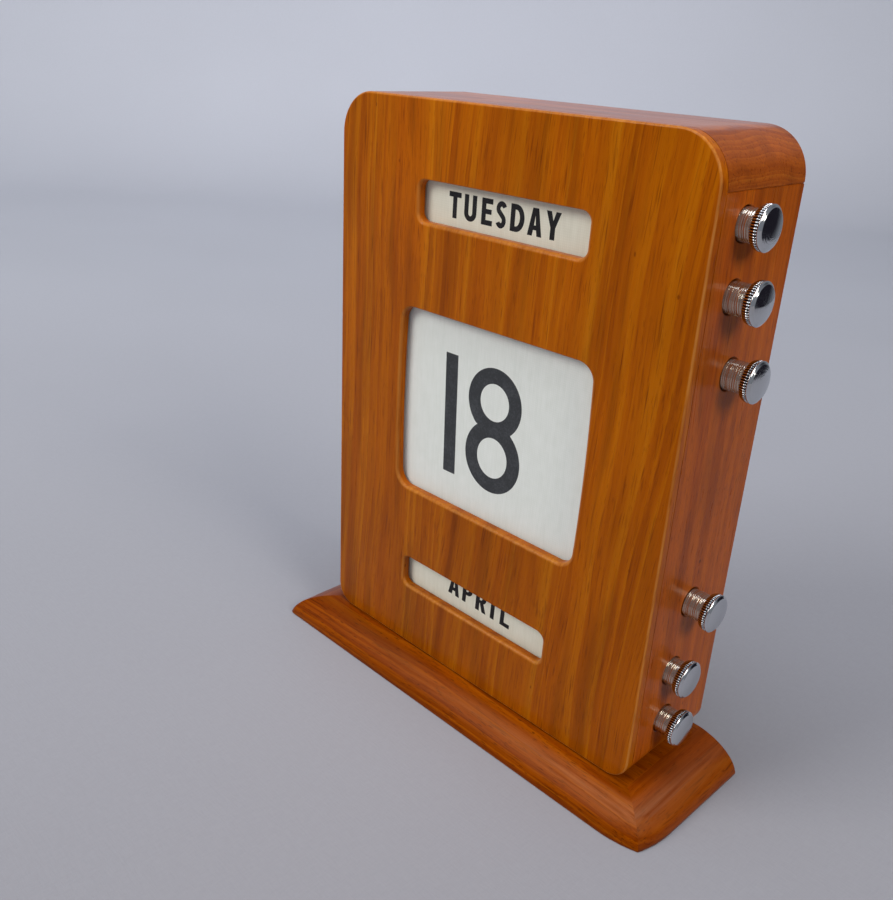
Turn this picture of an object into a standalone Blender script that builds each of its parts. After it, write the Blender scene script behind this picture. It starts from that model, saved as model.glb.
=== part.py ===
"""Perpetual desk calendar: a teak case with three windows, behind each of which a printed band
runs from one wooden roller to another. A chromed knob on the right turns each roller.

Metres, +Z up, the front faces -Y. The origin is the middle of the base's underside.
"""

import math
from dataclasses import dataclass

import bmesh
import bpy
from mathutils import Vector

# Case
CASE_WIDTH = 0.1675
FRONT_PANEL_THICKNESS = 0.0035
BACK_PANEL_THICKNESS = 0.0035
SIDE_BOARD_THICKNESS = 0.010
TOP_BOARD_THICKNESS = 0.0165
BOTTOM_BOARD_THICKNESS = 0.009
TOP_CORNER_RADIUS = 0.016
BOTTOM_CORNER_RADIUS = 0.0092
PANEL_RIM_ROUNDING = 0.0008
WINDOW_EDGE_ROUNDING = 0.0015
REBATE_WIDTH = 0.006
REAR_GAP = 0.0051

# Base
BASE_THICKNESS = 0.0122
BASE_SIDE_OVERHANG = 0.0192
BASE_FRONT_OVERHANG = 0.0146
BASE_LIP = 0.001
MOULDING_END_RUN = 0.0182
MOULDING_FRONT_RUN = 0.0154
MOULDING_TOP_ANGLE = math.radians(8)
MOULDING_FOOT_ANGLE = math.radians(80)
BASE_LEFT_EASING = 0.002
BASE_RIGHT_EASING = 0.010
BASE_CREASE_RADIUS = 0.0002

# Gaps
SEAM = 0.0003
RUNNING_GAP = 0.0004
WRAP_GAP = 0.0001
CUT_OVERRUN = 0.002

# Bands
BAND_THICKNESS = 0.00018
BAND_SIDE_COVER = 0.0085
BAND_LEADER = 0.030

DAY_PITCH = 0.026
DAY_LEGENDS_BELOW = 2
DAY_LEGENDS_ABOVE = 4

DATE_PITCH = 0.085
DATE_LEGENDS_BELOW = 17
DATE_LEGENDS_ABOVE = 13

MONTH_PITCH = 0.026
MONTH_LEGENDS_BELOW = 3
MONTH_LEGENDS_ABOVE = 8

# Windows: size of the hole behind its rounded edge, and its centre from the middle of its rollers
DAY_WINDOW_WIDTH = 0.079
DAY_WINDOW_HEIGHT = 0.0152
DAY_WINDOW_RISE = 0.00155
DAY_WINDOW_SHIFT = 0.00025

DATE_WINDOW_WIDTH = 0.093
DATE_WINDOW_HEIGHT = 0.0772
DATE_WINDOW_RISE = 0.0023
DATE_WINDOW_SHIFT = 0.001
DATE_WINDOW_BOW = 0.001

MONTH_WINDOW_WIDTH = 0.079
MONTH_WINDOW_HEIGHT = 0.014
MONTH_WINDOW_RISE = 0.00515
MONTH_WINDOW_SHIFT = -0.0003

SLOT_CORNER_RADIUS = 0.0035
DATE_CORNER_RADIUS = 0.006

# Rollers: how far each coil's front lies behind the front panel, and the gaps between coils
SLOT_ROLLER_RADIUS = 0.0085
DATE_ROLLER_RADIUS = 0.011
DAY_UPPER_SETBACK = 0.00486
DAY_LOWER_SETBACK = 0.00503
DATE_UPPER_SETBACK = 0.0071
DATE_LOWER_SETBACK = 0.00796
MONTH_UPPER_SETBACK = 0.0079
MONTH_LOWER_SETBACK = 0.00794
MONTH_TO_BOARD_GAP = 0.0013
MONTH_PAIR_GAP = 0.0033
MONTH_TO_DATE_GAP = 0.0012
DATE_ROLLER_SPACING = 0.0864
DATE_TO_DAY_GAP = 0.0003
DAY_PAIR_GAP = 0.0044
DAY_TO_BOARD_GAP = 0.0006

# Knobs: how far each head stands out of the case, and the one turned shape of all six
DAY_UPPER_STAND = 0.0092
DAY_LOWER_STAND = 0.0112
DATE_UPPER_STAND = 0.0115
DATE_LOWER_STAND = 0.0117
MONTH_UPPER_STAND = 0.0091
MONTH_LOWER_STAND = 0.0099
HEAD_RADIUS = 0.0071
HEAD_THICKNESS = 0.0046
STEM_RADIUS = 0.00525
SHANK_RADIUS = 0.0029
SHANK_LENGTH = 0.014
# Each pair is a place along the head from its back and a radius, as shares of the head's sizes.
HEAD_PROFILE_SHARES = (
    (0.0, 0.89), (0.03, 0.91), (0.56, 0.985), (0.65, 1.0), (0.72, 0.985),
    (0.80, 0.925), (0.87, 0.86), (0.96, 0.46), (1.0, 0.0),
)

# Guide rods: fixed, above and below each window, to hold the band close behind it
GUIDE_RADIUS = 0.00125
GUIDE_WINDOW_MARGIN = 0.0035
GUIDE_BAND_SETBACK = 0.0011
GUIDE_SOCKET_DEPTH = 0.004

# Left end pins and felt washers
PIN_RADIUS = 0.0025
PIN_IN_BOARD = 0.007
PIN_IN_ROLLER = 0.012
PIN_HOLE_SPARE = 0.0005
WASHER_RADIUS = 0.0082
WASHER_THICKNESS = 0.0015

# Wood screws
SCREW_HEAD_RADIUS = 0.0029
SCREW_HEAD_HEIGHT = 0.0018
SCREW_RADIUS = 0.0014
SCREW_POINT = 0.003
SCREW_RECESS = 0.0004
SCREW_SLOT_WIDTH = 0.0007
SCREW_SLOT_DEPTH = 0.0008
BACK_SCREW_BITE = 0.0115
BACK_SCREW_INSET = 0.025
BASE_SCREW_BITE = 0.006
BASE_SCREW_INSET = 0.02375

# Steps along curved shapes
CORNER_STEPS = 8
SIDE_STEPS = 6
ROUNDING_STEPS = 3
EASING_STEPS = 6
MOULDING_STEPS = 7
KNOB_STEPS = 28
ROUND_STEPS = 24
SCREW_STEPS = 12
WRAP_STEPS = 3
MERGE_DISTANCE = 0.000001
SMOOTH_ANGLE = math.radians(35)
QUARTER_TURN = math.radians(90)


@dataclass(frozen=True)
class Roller:
    """One roller: its place, its coil and how far its knob stands out."""

    name: str
    core_radius: float
    wound_length: float
    height: float
    depth: float
    stand: float

    @property
    def coil_radius(self):
        return wound_radius(self.core_radius, self.wound_length)


@dataclass(frozen=True)
class Window:
    """One window: its hole behind the rounded edge."""

    width: float
    height: float
    centre_x: float
    centre_z: float
    corner_radius: float
    bow: float

    def guide_height(self, side):
        """Z of the guide rod above the window (1) or below it (-1)."""
        return self.centre_z + side * (self.height / 2 + GUIDE_WINDOW_MARGIN)


def wound_radius(core_radius, length):
    """Outer radius of a band of this length wound on a round core."""
    return math.sqrt(core_radius**2 + length * BAND_THICKNESS / math.pi)


def full_radius(core_radius, pitch, legends):
    """Coil radius with the whole band on one roller."""
    return wound_radius(core_radius, 2 * BAND_LEADER + legends * pitch)


# Lengths of band on the rollers at rest
DAY_LOWER_WOUND = BAND_LEADER + DAY_LEGENDS_BELOW * DAY_PITCH
DAY_UPPER_WOUND = BAND_LEADER + DAY_LEGENDS_ABOVE * DAY_PITCH
DATE_LOWER_WOUND = BAND_LEADER + DATE_LEGENDS_BELOW * DATE_PITCH
DATE_UPPER_WOUND = BAND_LEADER + DATE_LEGENDS_ABOVE * DATE_PITCH
MONTH_LOWER_WOUND = BAND_LEADER + MONTH_LEGENDS_BELOW * MONTH_PITCH
MONTH_UPPER_WOUND = BAND_LEADER + MONTH_LEGENDS_ABOVE * MONTH_PITCH
DAY_FULL_RADIUS = full_radius(SLOT_ROLLER_RADIUS, DAY_PITCH, DAY_LEGENDS_BELOW + 1 + DAY_LEGENDS_ABOVE)
DATE_FULL_RADIUS = full_radius(DATE_ROLLER_RADIUS, DATE_PITCH, DATE_LEGENDS_BELOW + 1 + DATE_LEGENDS_ABOVE)
MONTH_FULL_RADIUS = full_radius(
    SLOT_ROLLER_RADIUS, MONTH_PITCH, MONTH_LEGENDS_BELOW + 1 + MONTH_LEGENDS_ABOVE
)

# Heights, up through the case: each roller clears the next one's full coil
CASE_BOTTOM = BASE_THICKNESS + SEAM
MONTH_LOWER_HEIGHT = CASE_BOTTOM + BOTTOM_BOARD_THICKNESS + MONTH_TO_BOARD_GAP + MONTH_FULL_RADIUS
MONTH_UPPER_HEIGHT = (
    MONTH_LOWER_HEIGHT
    + wound_radius(SLOT_ROLLER_RADIUS, MONTH_LOWER_WOUND)
    + MONTH_PAIR_GAP
    + wound_radius(SLOT_ROLLER_RADIUS, MONTH_UPPER_WOUND)
)
DATE_LOWER_HEIGHT = MONTH_UPPER_HEIGHT + MONTH_FULL_RADIUS + MONTH_TO_DATE_GAP + DATE_FULL_RADIUS
DATE_UPPER_HEIGHT = DATE_LOWER_HEIGHT + DATE_ROLLER_SPACING
DAY_LOWER_HEIGHT = DATE_UPPER_HEIGHT + DATE_FULL_RADIUS + DATE_TO_DAY_GAP + DAY_FULL_RADIUS
DAY_UPPER_HEIGHT = (
    DAY_LOWER_HEIGHT
    + wound_radius(SLOT_ROLLER_RADIUS, DAY_LOWER_WOUND)
    + DAY_PAIR_GAP
    + wound_radius(SLOT_ROLLER_RADIUS, DAY_UPPER_WOUND)
)
TOP_BOARD_UNDERSIDE = DAY_UPPER_HEIGHT + DAY_FULL_RADIUS + DAY_TO_BOARD_GAP
CASE_TOP = TOP_BOARD_UNDERSIDE + TOP_BOARD_THICKNESS

# Depths: the case is as deep as its largest full coil needs, and the base is centred on the origin
DATE_LOWER_BEHIND_FACE = (
    FRONT_PANEL_THICKNESS + DATE_LOWER_SETBACK + wound_radius(DATE_ROLLER_RADIUS, DATE_LOWER_WOUND)
)
CASE_DEPTH = DATE_LOWER_BEHIND_FACE + DATE_FULL_RADIUS + REAR_GAP + BACK_PANEL_THICKNESS
BASE_DEPTH = CASE_DEPTH + BASE_FRONT_OVERHANG
BASE_FRONT = -BASE_DEPTH / 2
CASE_FRONT = BASE_FRONT + BASE_FRONT_OVERHANG
CASE_BACK = CASE_FRONT + CASE_DEPTH
PANEL_BACK = CASE_FRONT + FRONT_PANEL_THICKNESS
BOARD_FRONT = PANEL_BACK + SEAM
REBATE_FLOOR = CASE_BACK - BACK_PANEL_THICKNESS - SEAM

# Widths
CASE_HALF = CASE_WIDTH / 2
INNER_HALF = CASE_HALF - SIDE_BOARD_THICKNESS
BASE_LENGTH = CASE_WIDTH + 2 * BASE_SIDE_OVERHANG
CORNER_RADIUS = min(TOP_CORNER_RADIUS, TOP_BOARD_THICKNESS)
FOOT_RADIUS = min(BOTTOM_CORNER_RADIUS, SIDE_BOARD_THICKNESS - SEAM)
BAND_WIDTH = DATE_WINDOW_WIDTH + 2 * BAND_SIDE_COVER
ROLLER_LEFT = -INNER_HALF + RUNNING_GAP
ROLLER_RIGHT = INNER_HALF - SEAM - WASHER_THICKNESS - RUNNING_GAP
GUIDE_DEPTH = PANEL_BACK + GUIDE_BAND_SETBACK + BAND_THICKNESS + WRAP_GAP + GUIDE_RADIUS
SMALLEST_STAND = min(
    DAY_UPPER_STAND, DAY_LOWER_STAND, DATE_UPPER_STAND, DATE_LOWER_STAND, MONTH_UPPER_STAND, MONTH_LOWER_STAND
)
STEM_LENGTH = CASE_HALF + SMALLEST_STAND - HEAD_THICKNESS - ROLLER_RIGHT - SEAM


def coil_depth(setback, core_radius, wound_length):
    """Y of a roller whose coil's front lies this far behind the front panel."""
    return PANEL_BACK + setback + wound_radius(core_radius, wound_length)


def make_rollers():
    """The six rollers, from the top down."""
    slot, date = SLOT_ROLLER_RADIUS, DATE_ROLLER_RADIUS
    table = (
        ("day_upper", slot, DAY_UPPER_WOUND, DAY_UPPER_HEIGHT, DAY_UPPER_SETBACK, DAY_UPPER_STAND),
        ("day_lower", slot, DAY_LOWER_WOUND, DAY_LOWER_HEIGHT, DAY_LOWER_SETBACK, DAY_LOWER_STAND),
        ("date_upper", date, DATE_UPPER_WOUND, DATE_UPPER_HEIGHT, DATE_UPPER_SETBACK, DATE_UPPER_STAND),
        ("date_lower", date, DATE_LOWER_WOUND, DATE_LOWER_HEIGHT, DATE_LOWER_SETBACK, DATE_LOWER_STAND),
        ("month_upper", slot, MONTH_UPPER_WOUND, MONTH_UPPER_HEIGHT, MONTH_UPPER_SETBACK, MONTH_UPPER_STAND),
        ("month_lower", slot, MONTH_LOWER_WOUND, MONTH_LOWER_HEIGHT, MONTH_LOWER_SETBACK, MONTH_LOWER_STAND),
    )
    return {
        name: Roller(name, core, wound, height, coil_depth(setback, core, wound), stand)
        for name, core, wound, height, setback, stand in table
    }


def make_windows(rollers):
    """The three windows, each placed from the middle of its two rollers."""

    def middle(band):
        return (rollers[band + "_upper"].height + rollers[band + "_lower"].height) / 2

    day_height = middle("day") + DAY_WINDOW_RISE
    date_height = middle("date") + DATE_WINDOW_RISE
    month_height = middle("month") + MONTH_WINDOW_RISE
    slot, date = SLOT_CORNER_RADIUS, DATE_CORNER_RADIUS
    day = Window(DAY_WINDOW_WIDTH, DAY_WINDOW_HEIGHT, DAY_WINDOW_SHIFT, day_height, slot, 0)
    month = Window(MONTH_WINDOW_WIDTH, MONTH_WINDOW_HEIGHT, MONTH_WINDOW_SHIFT, month_height, slot, 0)
    number = Window(
        DATE_WINDOW_WIDTH, DATE_WINDOW_HEIGHT, DATE_WINDOW_SHIFT, date_height, date, DATE_WINDOW_BOW
    )
    return {"day": day, "date": number, "month": month}


def clear_scene():
    """Removes every object that is there at the start."""
    for obj in list(bpy.data.objects):
        bpy.data.objects.remove(obj)


def make_material(name, colour, roughness, metallic=0.0):
    """A plain Principled material."""
    material = bpy.data.materials.new(name)
    material.use_nodes = True
    shader = material.node_tree.nodes["Principled BSDF"]
    shader.inputs["Base Color"].default_value = (*colour, 1.0)
    shader.inputs["Roughness"].default_value = roughness
    shader.inputs["Metallic"].default_value = metallic
    return material


def add_object(
    name, mesh_source, material, location=(0, 0, 0), rotation=(0, 0, 0), parent=None, smooth=False
):
    """Turns a bmesh into a named object with its own mesh."""
    mesh = bpy.data.meshes.new(name)
    mesh_source.to_mesh(mesh)
    mesh_source.free()
    if smooth:
        mesh.shade_smooth()
        mesh.set_sharp_from_angle(angle=SMOOTH_ANGLE)
    obj = bpy.data.objects.new(name, mesh)
    if material:
        mesh.materials.append(material)
    obj.location = location
    obj.rotation_euler = rotation
    obj.parent = parent
    bpy.context.scene.collection.objects.link(obj)
    return obj


def rounded_outline(width, bottom, top, low_radius, high_radius, centre_x=0, bow=0):
    """Points (x, z) of an upright outline with round corners, whose sides may bow outwards."""
    half = width / 2
    corners = (
        (half - low_radius, bottom + low_radius, low_radius),
        (half - high_radius, top - high_radius, high_radius),
        (high_radius - half, top - high_radius, high_radius),
        (low_radius - half, bottom + low_radius, low_radius),
    )
    points = []
    for index, (x, z, radius) in enumerate(corners):
        start = QUARTER_TURN * (index - 1)
        for step in range(CORNER_STEPS + 1):
            angle = start + QUARTER_TURN * step / CORNER_STEPS
            points.append((x + radius * math.cos(angle), z + radius * math.sin(angle)))
        if bow and index % 2 == 0:
            _, last_z = points[-1]
            next_z = corners[(index + 1) % len(corners)][1]
            side_x = points[-1][0]
            for step in range(1, SIDE_STEPS):
                points.append((side_x, last_z + (next_z - last_z) * step / SIDE_STEPS))
    middle, reach = (top + bottom) / 2, (top - bottom) / 2
    return [
        (centre_x + x + bow * (x / half) * (1 - ((z - middle) / reach) ** 2), z) for x, z in points
    ]


def add_loop(mesh, points):
    """Adds a closed loop of vertices and its edges."""
    verts = [mesh.verts.new(point) for point in points]
    edges = [mesh.edges.new((verts[index - 1], vert)) for index, vert in enumerate(verts)]
    return verts, edges


def join_loops(mesh, first, second):
    """Adds the band of faces between two loops with as many points."""
    for index in range(len(first)):
        mesh.faces.new((first[index - 1], first[index], second[index], second[index - 1]))


def sheet_of_walls(mesh, rings):
    """Joins loops one after another and returns the edges of the first and the last."""
    loops = [add_loop(mesh, ring) for ring in rings]
    for (before, _), (after, _) in zip(loops, loops[1:]):
        join_loops(mesh, before, after)
    return loops[0][1], loops[-1][1]


def close_plate(mesh, front_edges, back_edges):
    """Fills the front and the back around any holes, and turns all faces outwards."""
    for edges in (front_edges, back_edges):
        bmesh.ops.triangle_fill(mesh, use_beauty=True, use_dissolve=False, edges=edges)
    bmesh.ops.recalc_face_normals(mesh, faces=mesh.faces)


def plate(outline, front, back):
    """An upright plate of this outline between two depths."""
    mesh = bmesh.new()
    rings = [[(x, y, z) for x, z in outline] for y in (front, back)]
    close_plate(mesh, *sheet_of_walls(mesh, rings))
    return mesh


def box(low, high):
    """A box between two corners."""
    outline = ((low[0], low[2]), (high[0], low[2]), (high[0], high[2]), (low[0], high[2]))
    return plate(outline, low[1], high[1])


def turned(profile, steps, closed=False):
    """Turns (along, radius) points about the X axis: a solid, or a ring where the profile is closed."""
    mesh = bmesh.new()
    verts = [mesh.verts.new((along, radius, 0)) for along, radius in profile]
    pairs = list(zip(verts, verts[1:]))
    if closed:
        pairs.append((verts[-1], verts[0]))
    edges = [mesh.edges.new(pair) for pair in pairs]
    bmesh.ops.spin(
        mesh, geom=verts + edges, cent=(0, 0, 0), axis=(1, 0, 0), angle=math.tau, steps=steps, use_merge=True
    )
    bmesh.ops.remove_doubles(mesh, verts=mesh.verts, dist=MERGE_DISTANCE)
    bmesh.ops.recalc_face_normals(mesh, faces=mesh.faces)
    return mesh


def cut(obj, cutters):
    """Cuts helper objects out of a piece."""
    for cutter in cutters:
        cutter.hide_render = True
        cutter.display_type = "WIRE"
        modifier = obj.modifiers.new("cut", "BOOLEAN")
        modifier.operation = "DIFFERENCE"
        modifier.solver = "EXACT"
        modifier.object = cutter


def shaft_cutter(name, start, length, radius, depth, height, steps=ROUND_STEPS):
    """A round cutter along X from a place on it, at this depth and height."""
    profile = ((start, 0), (start, radius), (start + length, radius), (start + length, 0))
    return add_object(name, turned(profile, steps), None, (0, depth, height))


def make_front_panel(windows, material):
    """The front panel, with its rim and its windows rounded on the outside."""
    mesh = bmesh.new()
    front_edges, back_edges = [], []

    def add_rings(ring_at, rounding):
        rings = []
        for step in range(ROUNDING_STEPS + 1):
            angle = QUARTER_TURN * step / ROUNDING_STEPS
            grow = rounding * (1 - math.sin(angle))
            depth = CASE_FRONT + rounding * (1 - math.cos(angle))
            rings.append([(x, depth, z) for x, z in ring_at(grow)])
        rings.append([(x, PANEL_BACK, z) for x, z in ring_at(0)])
        first, last = sheet_of_walls(mesh, rings)
        front_edges.extend(first)
        back_edges.extend(last)

    def rim(inset):
        return rounded_outline(
            CASE_WIDTH - 2 * inset,
            CASE_BOTTOM + inset,
            CASE_TOP - inset,
            FOOT_RADIUS - inset,
            CORNER_RADIUS - inset,
        )

    add_rings(rim, PANEL_RIM_ROUNDING)
    for window in windows.values():

        def hole(grow, window=window):
            return rounded_outline(
                window.width + 2 * grow,
                window.centre_z - window.height / 2 - grow,
                window.centre_z + window.height / 2 + grow,
                window.corner_radius + grow,
                window.corner_radius + grow,
                window.centre_x,
                window.bow,
            )

        add_rings(hole, WINDOW_EDGE_ROUNDING)
    close_plate(mesh, front_edges, back_edges)
    return add_object("front_panel", mesh, material, smooth=True)


def make_side_board(name, side, rollers, windows, holes_to, material):
    """A side board with its rebate, its round foot, holes for the rollers' ends and guide sockets."""
    foot = FOOT_RADIUS
    outline = [(side * INNER_HALF, CASE_BOTTOM)]
    for step in range(CORNER_STEPS + 1):
        angle = QUARTER_TURN * step / CORNER_STEPS
        across = CASE_HALF - foot + foot * math.sin(angle)
        outline.append((side * across, CASE_BOTTOM + foot - foot * math.cos(angle)))
    outline.append((side * CASE_HALF, TOP_BOARD_UNDERSIDE - SEAM))
    outline.append((side * INNER_HALF, TOP_BOARD_UNDERSIDE - SEAM))
    board = add_object(name, plate(outline, BOARD_FRONT, CASE_BACK), material)
    inner, rebate_end = side * (INNER_HALF - CUT_OVERRUN), side * (INNER_HALF + REBATE_WIDTH)
    rebate = box(
        (min(inner, rebate_end), REBATE_FLOOR, CASE_BOTTOM - CUT_OVERRUN),
        (max(inner, rebate_end), CASE_BACK + CUT_OVERRUN, TOP_BOARD_UNDERSIDE + CUT_OVERRUN),
    )
    cutters = [add_object(name + "_rebate_cutter", rebate, None)]
    radius, start, length = holes_to
    for roller in rollers.values():
        hole = f"{name}_{roller.name}_cutter"
        cutters.append(shaft_cutter(hole, start, length, radius, roller.depth, roller.height))
    reach = GUIDE_SOCKET_DEPTH + SEAM + CUT_OVERRUN
    socket_start = INNER_HALF - CUT_OVERRUN if side > 0 else -INNER_HALF + CUT_OVERRUN - reach
    for band, window in windows.items():
        for end in (-1, 1):
            height = window.guide_height(end)
            hole = f"{name}_{band}_{end}_socket_cutter"
            radius = GUIDE_RADIUS + SEAM
            cutters.append(shaft_cutter(hole, socket_start, reach, radius, GUIDE_DEPTH, height, SCREW_STEPS))
    cut(board, cutters)
    return board


def back_outline():
    """The back panel's outline, whose lower corners follow the side boards' round feet."""
    reach, top = INNER_HALF + REBATE_WIDTH - SEAM, TOP_BOARD_UNDERSIDE - SEAM
    lower = []
    for step in range(CORNER_STEPS + 1):
        across = INNER_HALF + (reach - INNER_HALF) * step / CORNER_STEPS
        over = max(0, across - (CASE_HALF - FOOT_RADIUS))
        lower.append((across, CASE_BOTTOM + FOOT_RADIUS - math.sqrt(FOOT_RADIUS**2 - over**2)))
    left = [(-across, height) for across, height in reversed(lower)]
    return [*left, *lower, (reach, top), (-reach, top)]


def make_case(rollers, windows, teak, side_teak):
    """The case: front panel, four boards and a back panel."""
    make_front_panel(windows, teak)
    corner = CORNER_RADIUS
    top = rounded_outline(CASE_WIDTH, TOP_BOARD_UNDERSIDE - corner, CASE_TOP, corner, corner)
    top = [(x, z) for x, z in top if z > TOP_BOARD_UNDERSIDE + MERGE_DISTANCE]
    top += [(-CASE_HALF, TOP_BOARD_UNDERSIDE), (CASE_HALF, TOP_BOARD_UNDERSIDE)]
    add_object("case_top", plate(top, BOARD_FRONT, CASE_BACK), side_teak, smooth=True)
    through = SIDE_BOARD_THICKNESS + 2 * CUT_OVERRUN
    right_holes = (STEM_RADIUS + RUNNING_GAP, INNER_HALF - CUT_OVERRUN, through)
    make_side_board("case_right_side", 1, rollers, windows, right_holes, side_teak)
    depth = PIN_IN_BOARD + PIN_HOLE_SPARE
    left_holes = (PIN_RADIUS + SEAM, -INNER_HALF - depth, depth + CUT_OVERRUN)
    make_side_board("case_left_side", -1, rollers, windows, left_holes, side_teak)
    bottom = box(
        (SEAM - INNER_HALF, BOARD_FRONT, CASE_BOTTOM),
        (INNER_HALF - SEAM, REBATE_FLOOR - SEAM, CASE_BOTTOM + BOTTOM_BOARD_THICKNESS),
    )
    add_object("case_bottom", bottom, side_teak)
    back = plate(back_outline(), CASE_BACK - BACK_PANEL_THICKNESS, CASE_BACK)
    add_object("back_panel", back, side_teak)


def base_ring(share, height):
    """A level loop of the base at a share of the moulding's run, with eased corners at the front."""
    half, front = BASE_LENGTH / 2 - share * MOULDING_END_RUN, BASE_FRONT + share * MOULDING_FRONT_RUN
    points = [(half, CASE_BACK, height), (-half, CASE_BACK, height)]
    for side, start, corner in ((-1, 2, BASE_LEFT_EASING), (1, 3, BASE_RIGHT_EASING)):
        easing = corner * (1 - share) + BASE_CREASE_RADIUS
        for step in range(EASING_STEPS + 1):
            angle = QUARTER_TURN * (start + step / EASING_STEPS)
            x = side * (half - easing) + easing * math.cos(angle)
            points.append((x, front + easing + easing * math.sin(angle), height))
    return points


def make_base(material):
    """The base, with one rounded moulding along its front and both ends."""
    top_angle, foot_angle = MOULDING_TOP_ANGLE, MOULDING_FOOT_ANGLE
    rings = [base_ring(0, 0)]
    for step in range(MOULDING_STEPS + 1):
        angle = foot_angle + (top_angle - foot_angle) * step / MOULDING_STEPS
        out = (math.sin(angle) - math.sin(top_angle)) / (math.sin(foot_angle) - math.sin(top_angle))
        drop = (math.cos(top_angle) - math.cos(angle)) / (math.cos(top_angle) - math.cos(foot_angle))
        rings.append(base_ring(1 - out, BASE_THICKNESS - (BASE_THICKNESS - BASE_LIP) * drop))
    mesh = bmesh.new()
    close_plate(mesh, *sheet_of_walls(mesh, rings))
    return add_object("base_plinth", mesh, material, smooth=True)


def screw_profile(length, grow=0.0, point=True):
    """A countersunk screw from its head's face inwards, or its hole where it is grown and has no point."""
    neck = SCREW_HEAD_HEIGHT
    end = length - (SCREW_POINT if point else 0)
    profile = [(0, 0), (0, SCREW_HEAD_RADIUS + grow), (neck, SCREW_RADIUS + grow), (end, SCREW_RADIUS + grow)]
    profile.append((length, 0) if point else (end + grow, SCREW_RADIUS + grow))
    if not point:
        profile.append((end + grow, 0))
    return profile


def add_screw(name, length, location, rotation, through, material):
    """A slotted screw, and its hole in each piece that it passes through or bites into."""
    body = turned(screw_profile(length), SCREW_STEPS)
    screw = add_object(name, body, material, location, rotation, smooth=True)
    reach = SCREW_HEAD_RADIUS + CUT_OVERRUN
    slot = box(
        (-CUT_OVERRUN, -reach, -SCREW_SLOT_WIDTH / 2), (SCREW_SLOT_DEPTH, reach, SCREW_SLOT_WIDTH / 2)
    )
    cut(screw, [add_object(name + "_slot_cutter", slot, None, location, rotation)])
    outside = [(-CUT_OVERRUN, 0), (-CUT_OVERRUN, SCREW_HEAD_RADIUS + SEAM)]
    hole = outside + screw_profile(length, SEAM, point=False)[1:]
    cut_hole = add_object(name + "_hole_cutter", turned(hole, SCREW_STEPS), None, location, rotation)
    for piece in through:
        cut(bpy.data.objects[piece], [cut_hole])


def make_screws(material):
    """Six screws hold the back panel and two hold the base."""
    length = BACK_PANEL_THICKNESS - SCREW_RECESS + BACK_SCREW_BITE
    low, high = CASE_BOTTOM + BACK_SCREW_INSET, TOP_BOARD_UNDERSIDE - BACK_SCREW_INSET
    number = 0
    for side, board in ((-1, "case_left_side"), (1, "case_right_side")):
        for height in (low, (low + high) / 2, high):
            number += 1
            place = (side * (INNER_HALF + REBATE_WIDTH / 2), CASE_BACK - SCREW_RECESS, height)
            turn = (0, 0, -QUARTER_TURN)
            add_screw(f"back_screw_{number}", length, place, turn, ("back_panel", board), material)
    length = BASE_THICKNESS + SEAM + BASE_SCREW_BITE - SCREW_RECESS
    for number, side in enumerate((-1, 1), start=1):
        place = (side * (INNER_HALF - BASE_SCREW_INSET), (CASE_FRONT + CASE_BACK) / 2, SCREW_RECESS)
        turn = (0, -QUARTER_TURN, 0)
        add_screw(f"base_screw_{number}", length, place, turn, ("base_plinth", "case_bottom"), material)


def roller_profile():
    """Ends and bores of a roller, without its radius: (along, radius) of the left and the right bore."""
    pin_bore, pin_end = PIN_RADIUS + SEAM, ROLLER_LEFT + PIN_IN_ROLLER + SEAM
    shank_bore, shank_end = SHANK_RADIUS + SEAM, ROLLER_RIGHT - SHANK_LENGTH
    left = ((pin_end, 0), (pin_end, pin_bore), (ROLLER_LEFT, pin_bore))
    right = ((ROLLER_RIGHT, shank_bore), (shank_end, shank_bore), (shank_end, 0))
    return left, right


def knob_profile(stand):
    """A knob from the end of its shank to the middle of its face."""
    face = CASE_HALF + stand
    head_back = face - HEAD_THICKNESS
    shoulder = head_back - STEM_LENGTH
    shank_end = shoulder - SHANK_LENGTH + SEAM
    profile = [(shank_end, 0), (shank_end, SHANK_RADIUS), (shoulder, SHANK_RADIUS)]
    profile += [(shoulder, STEM_RADIUS), (head_back, STEM_RADIUS)]
    for along, radius in HEAD_PROFILE_SHARES:
        profile.append((head_back + along * HEAD_THICKNESS, radius * HEAD_RADIUS))
    return profile


def ring_profile(left, right, inner, outer):
    """The section of a ring between two places on X."""
    return ((left, inner), (left, outer), (right, outer), (right, inner))


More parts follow.
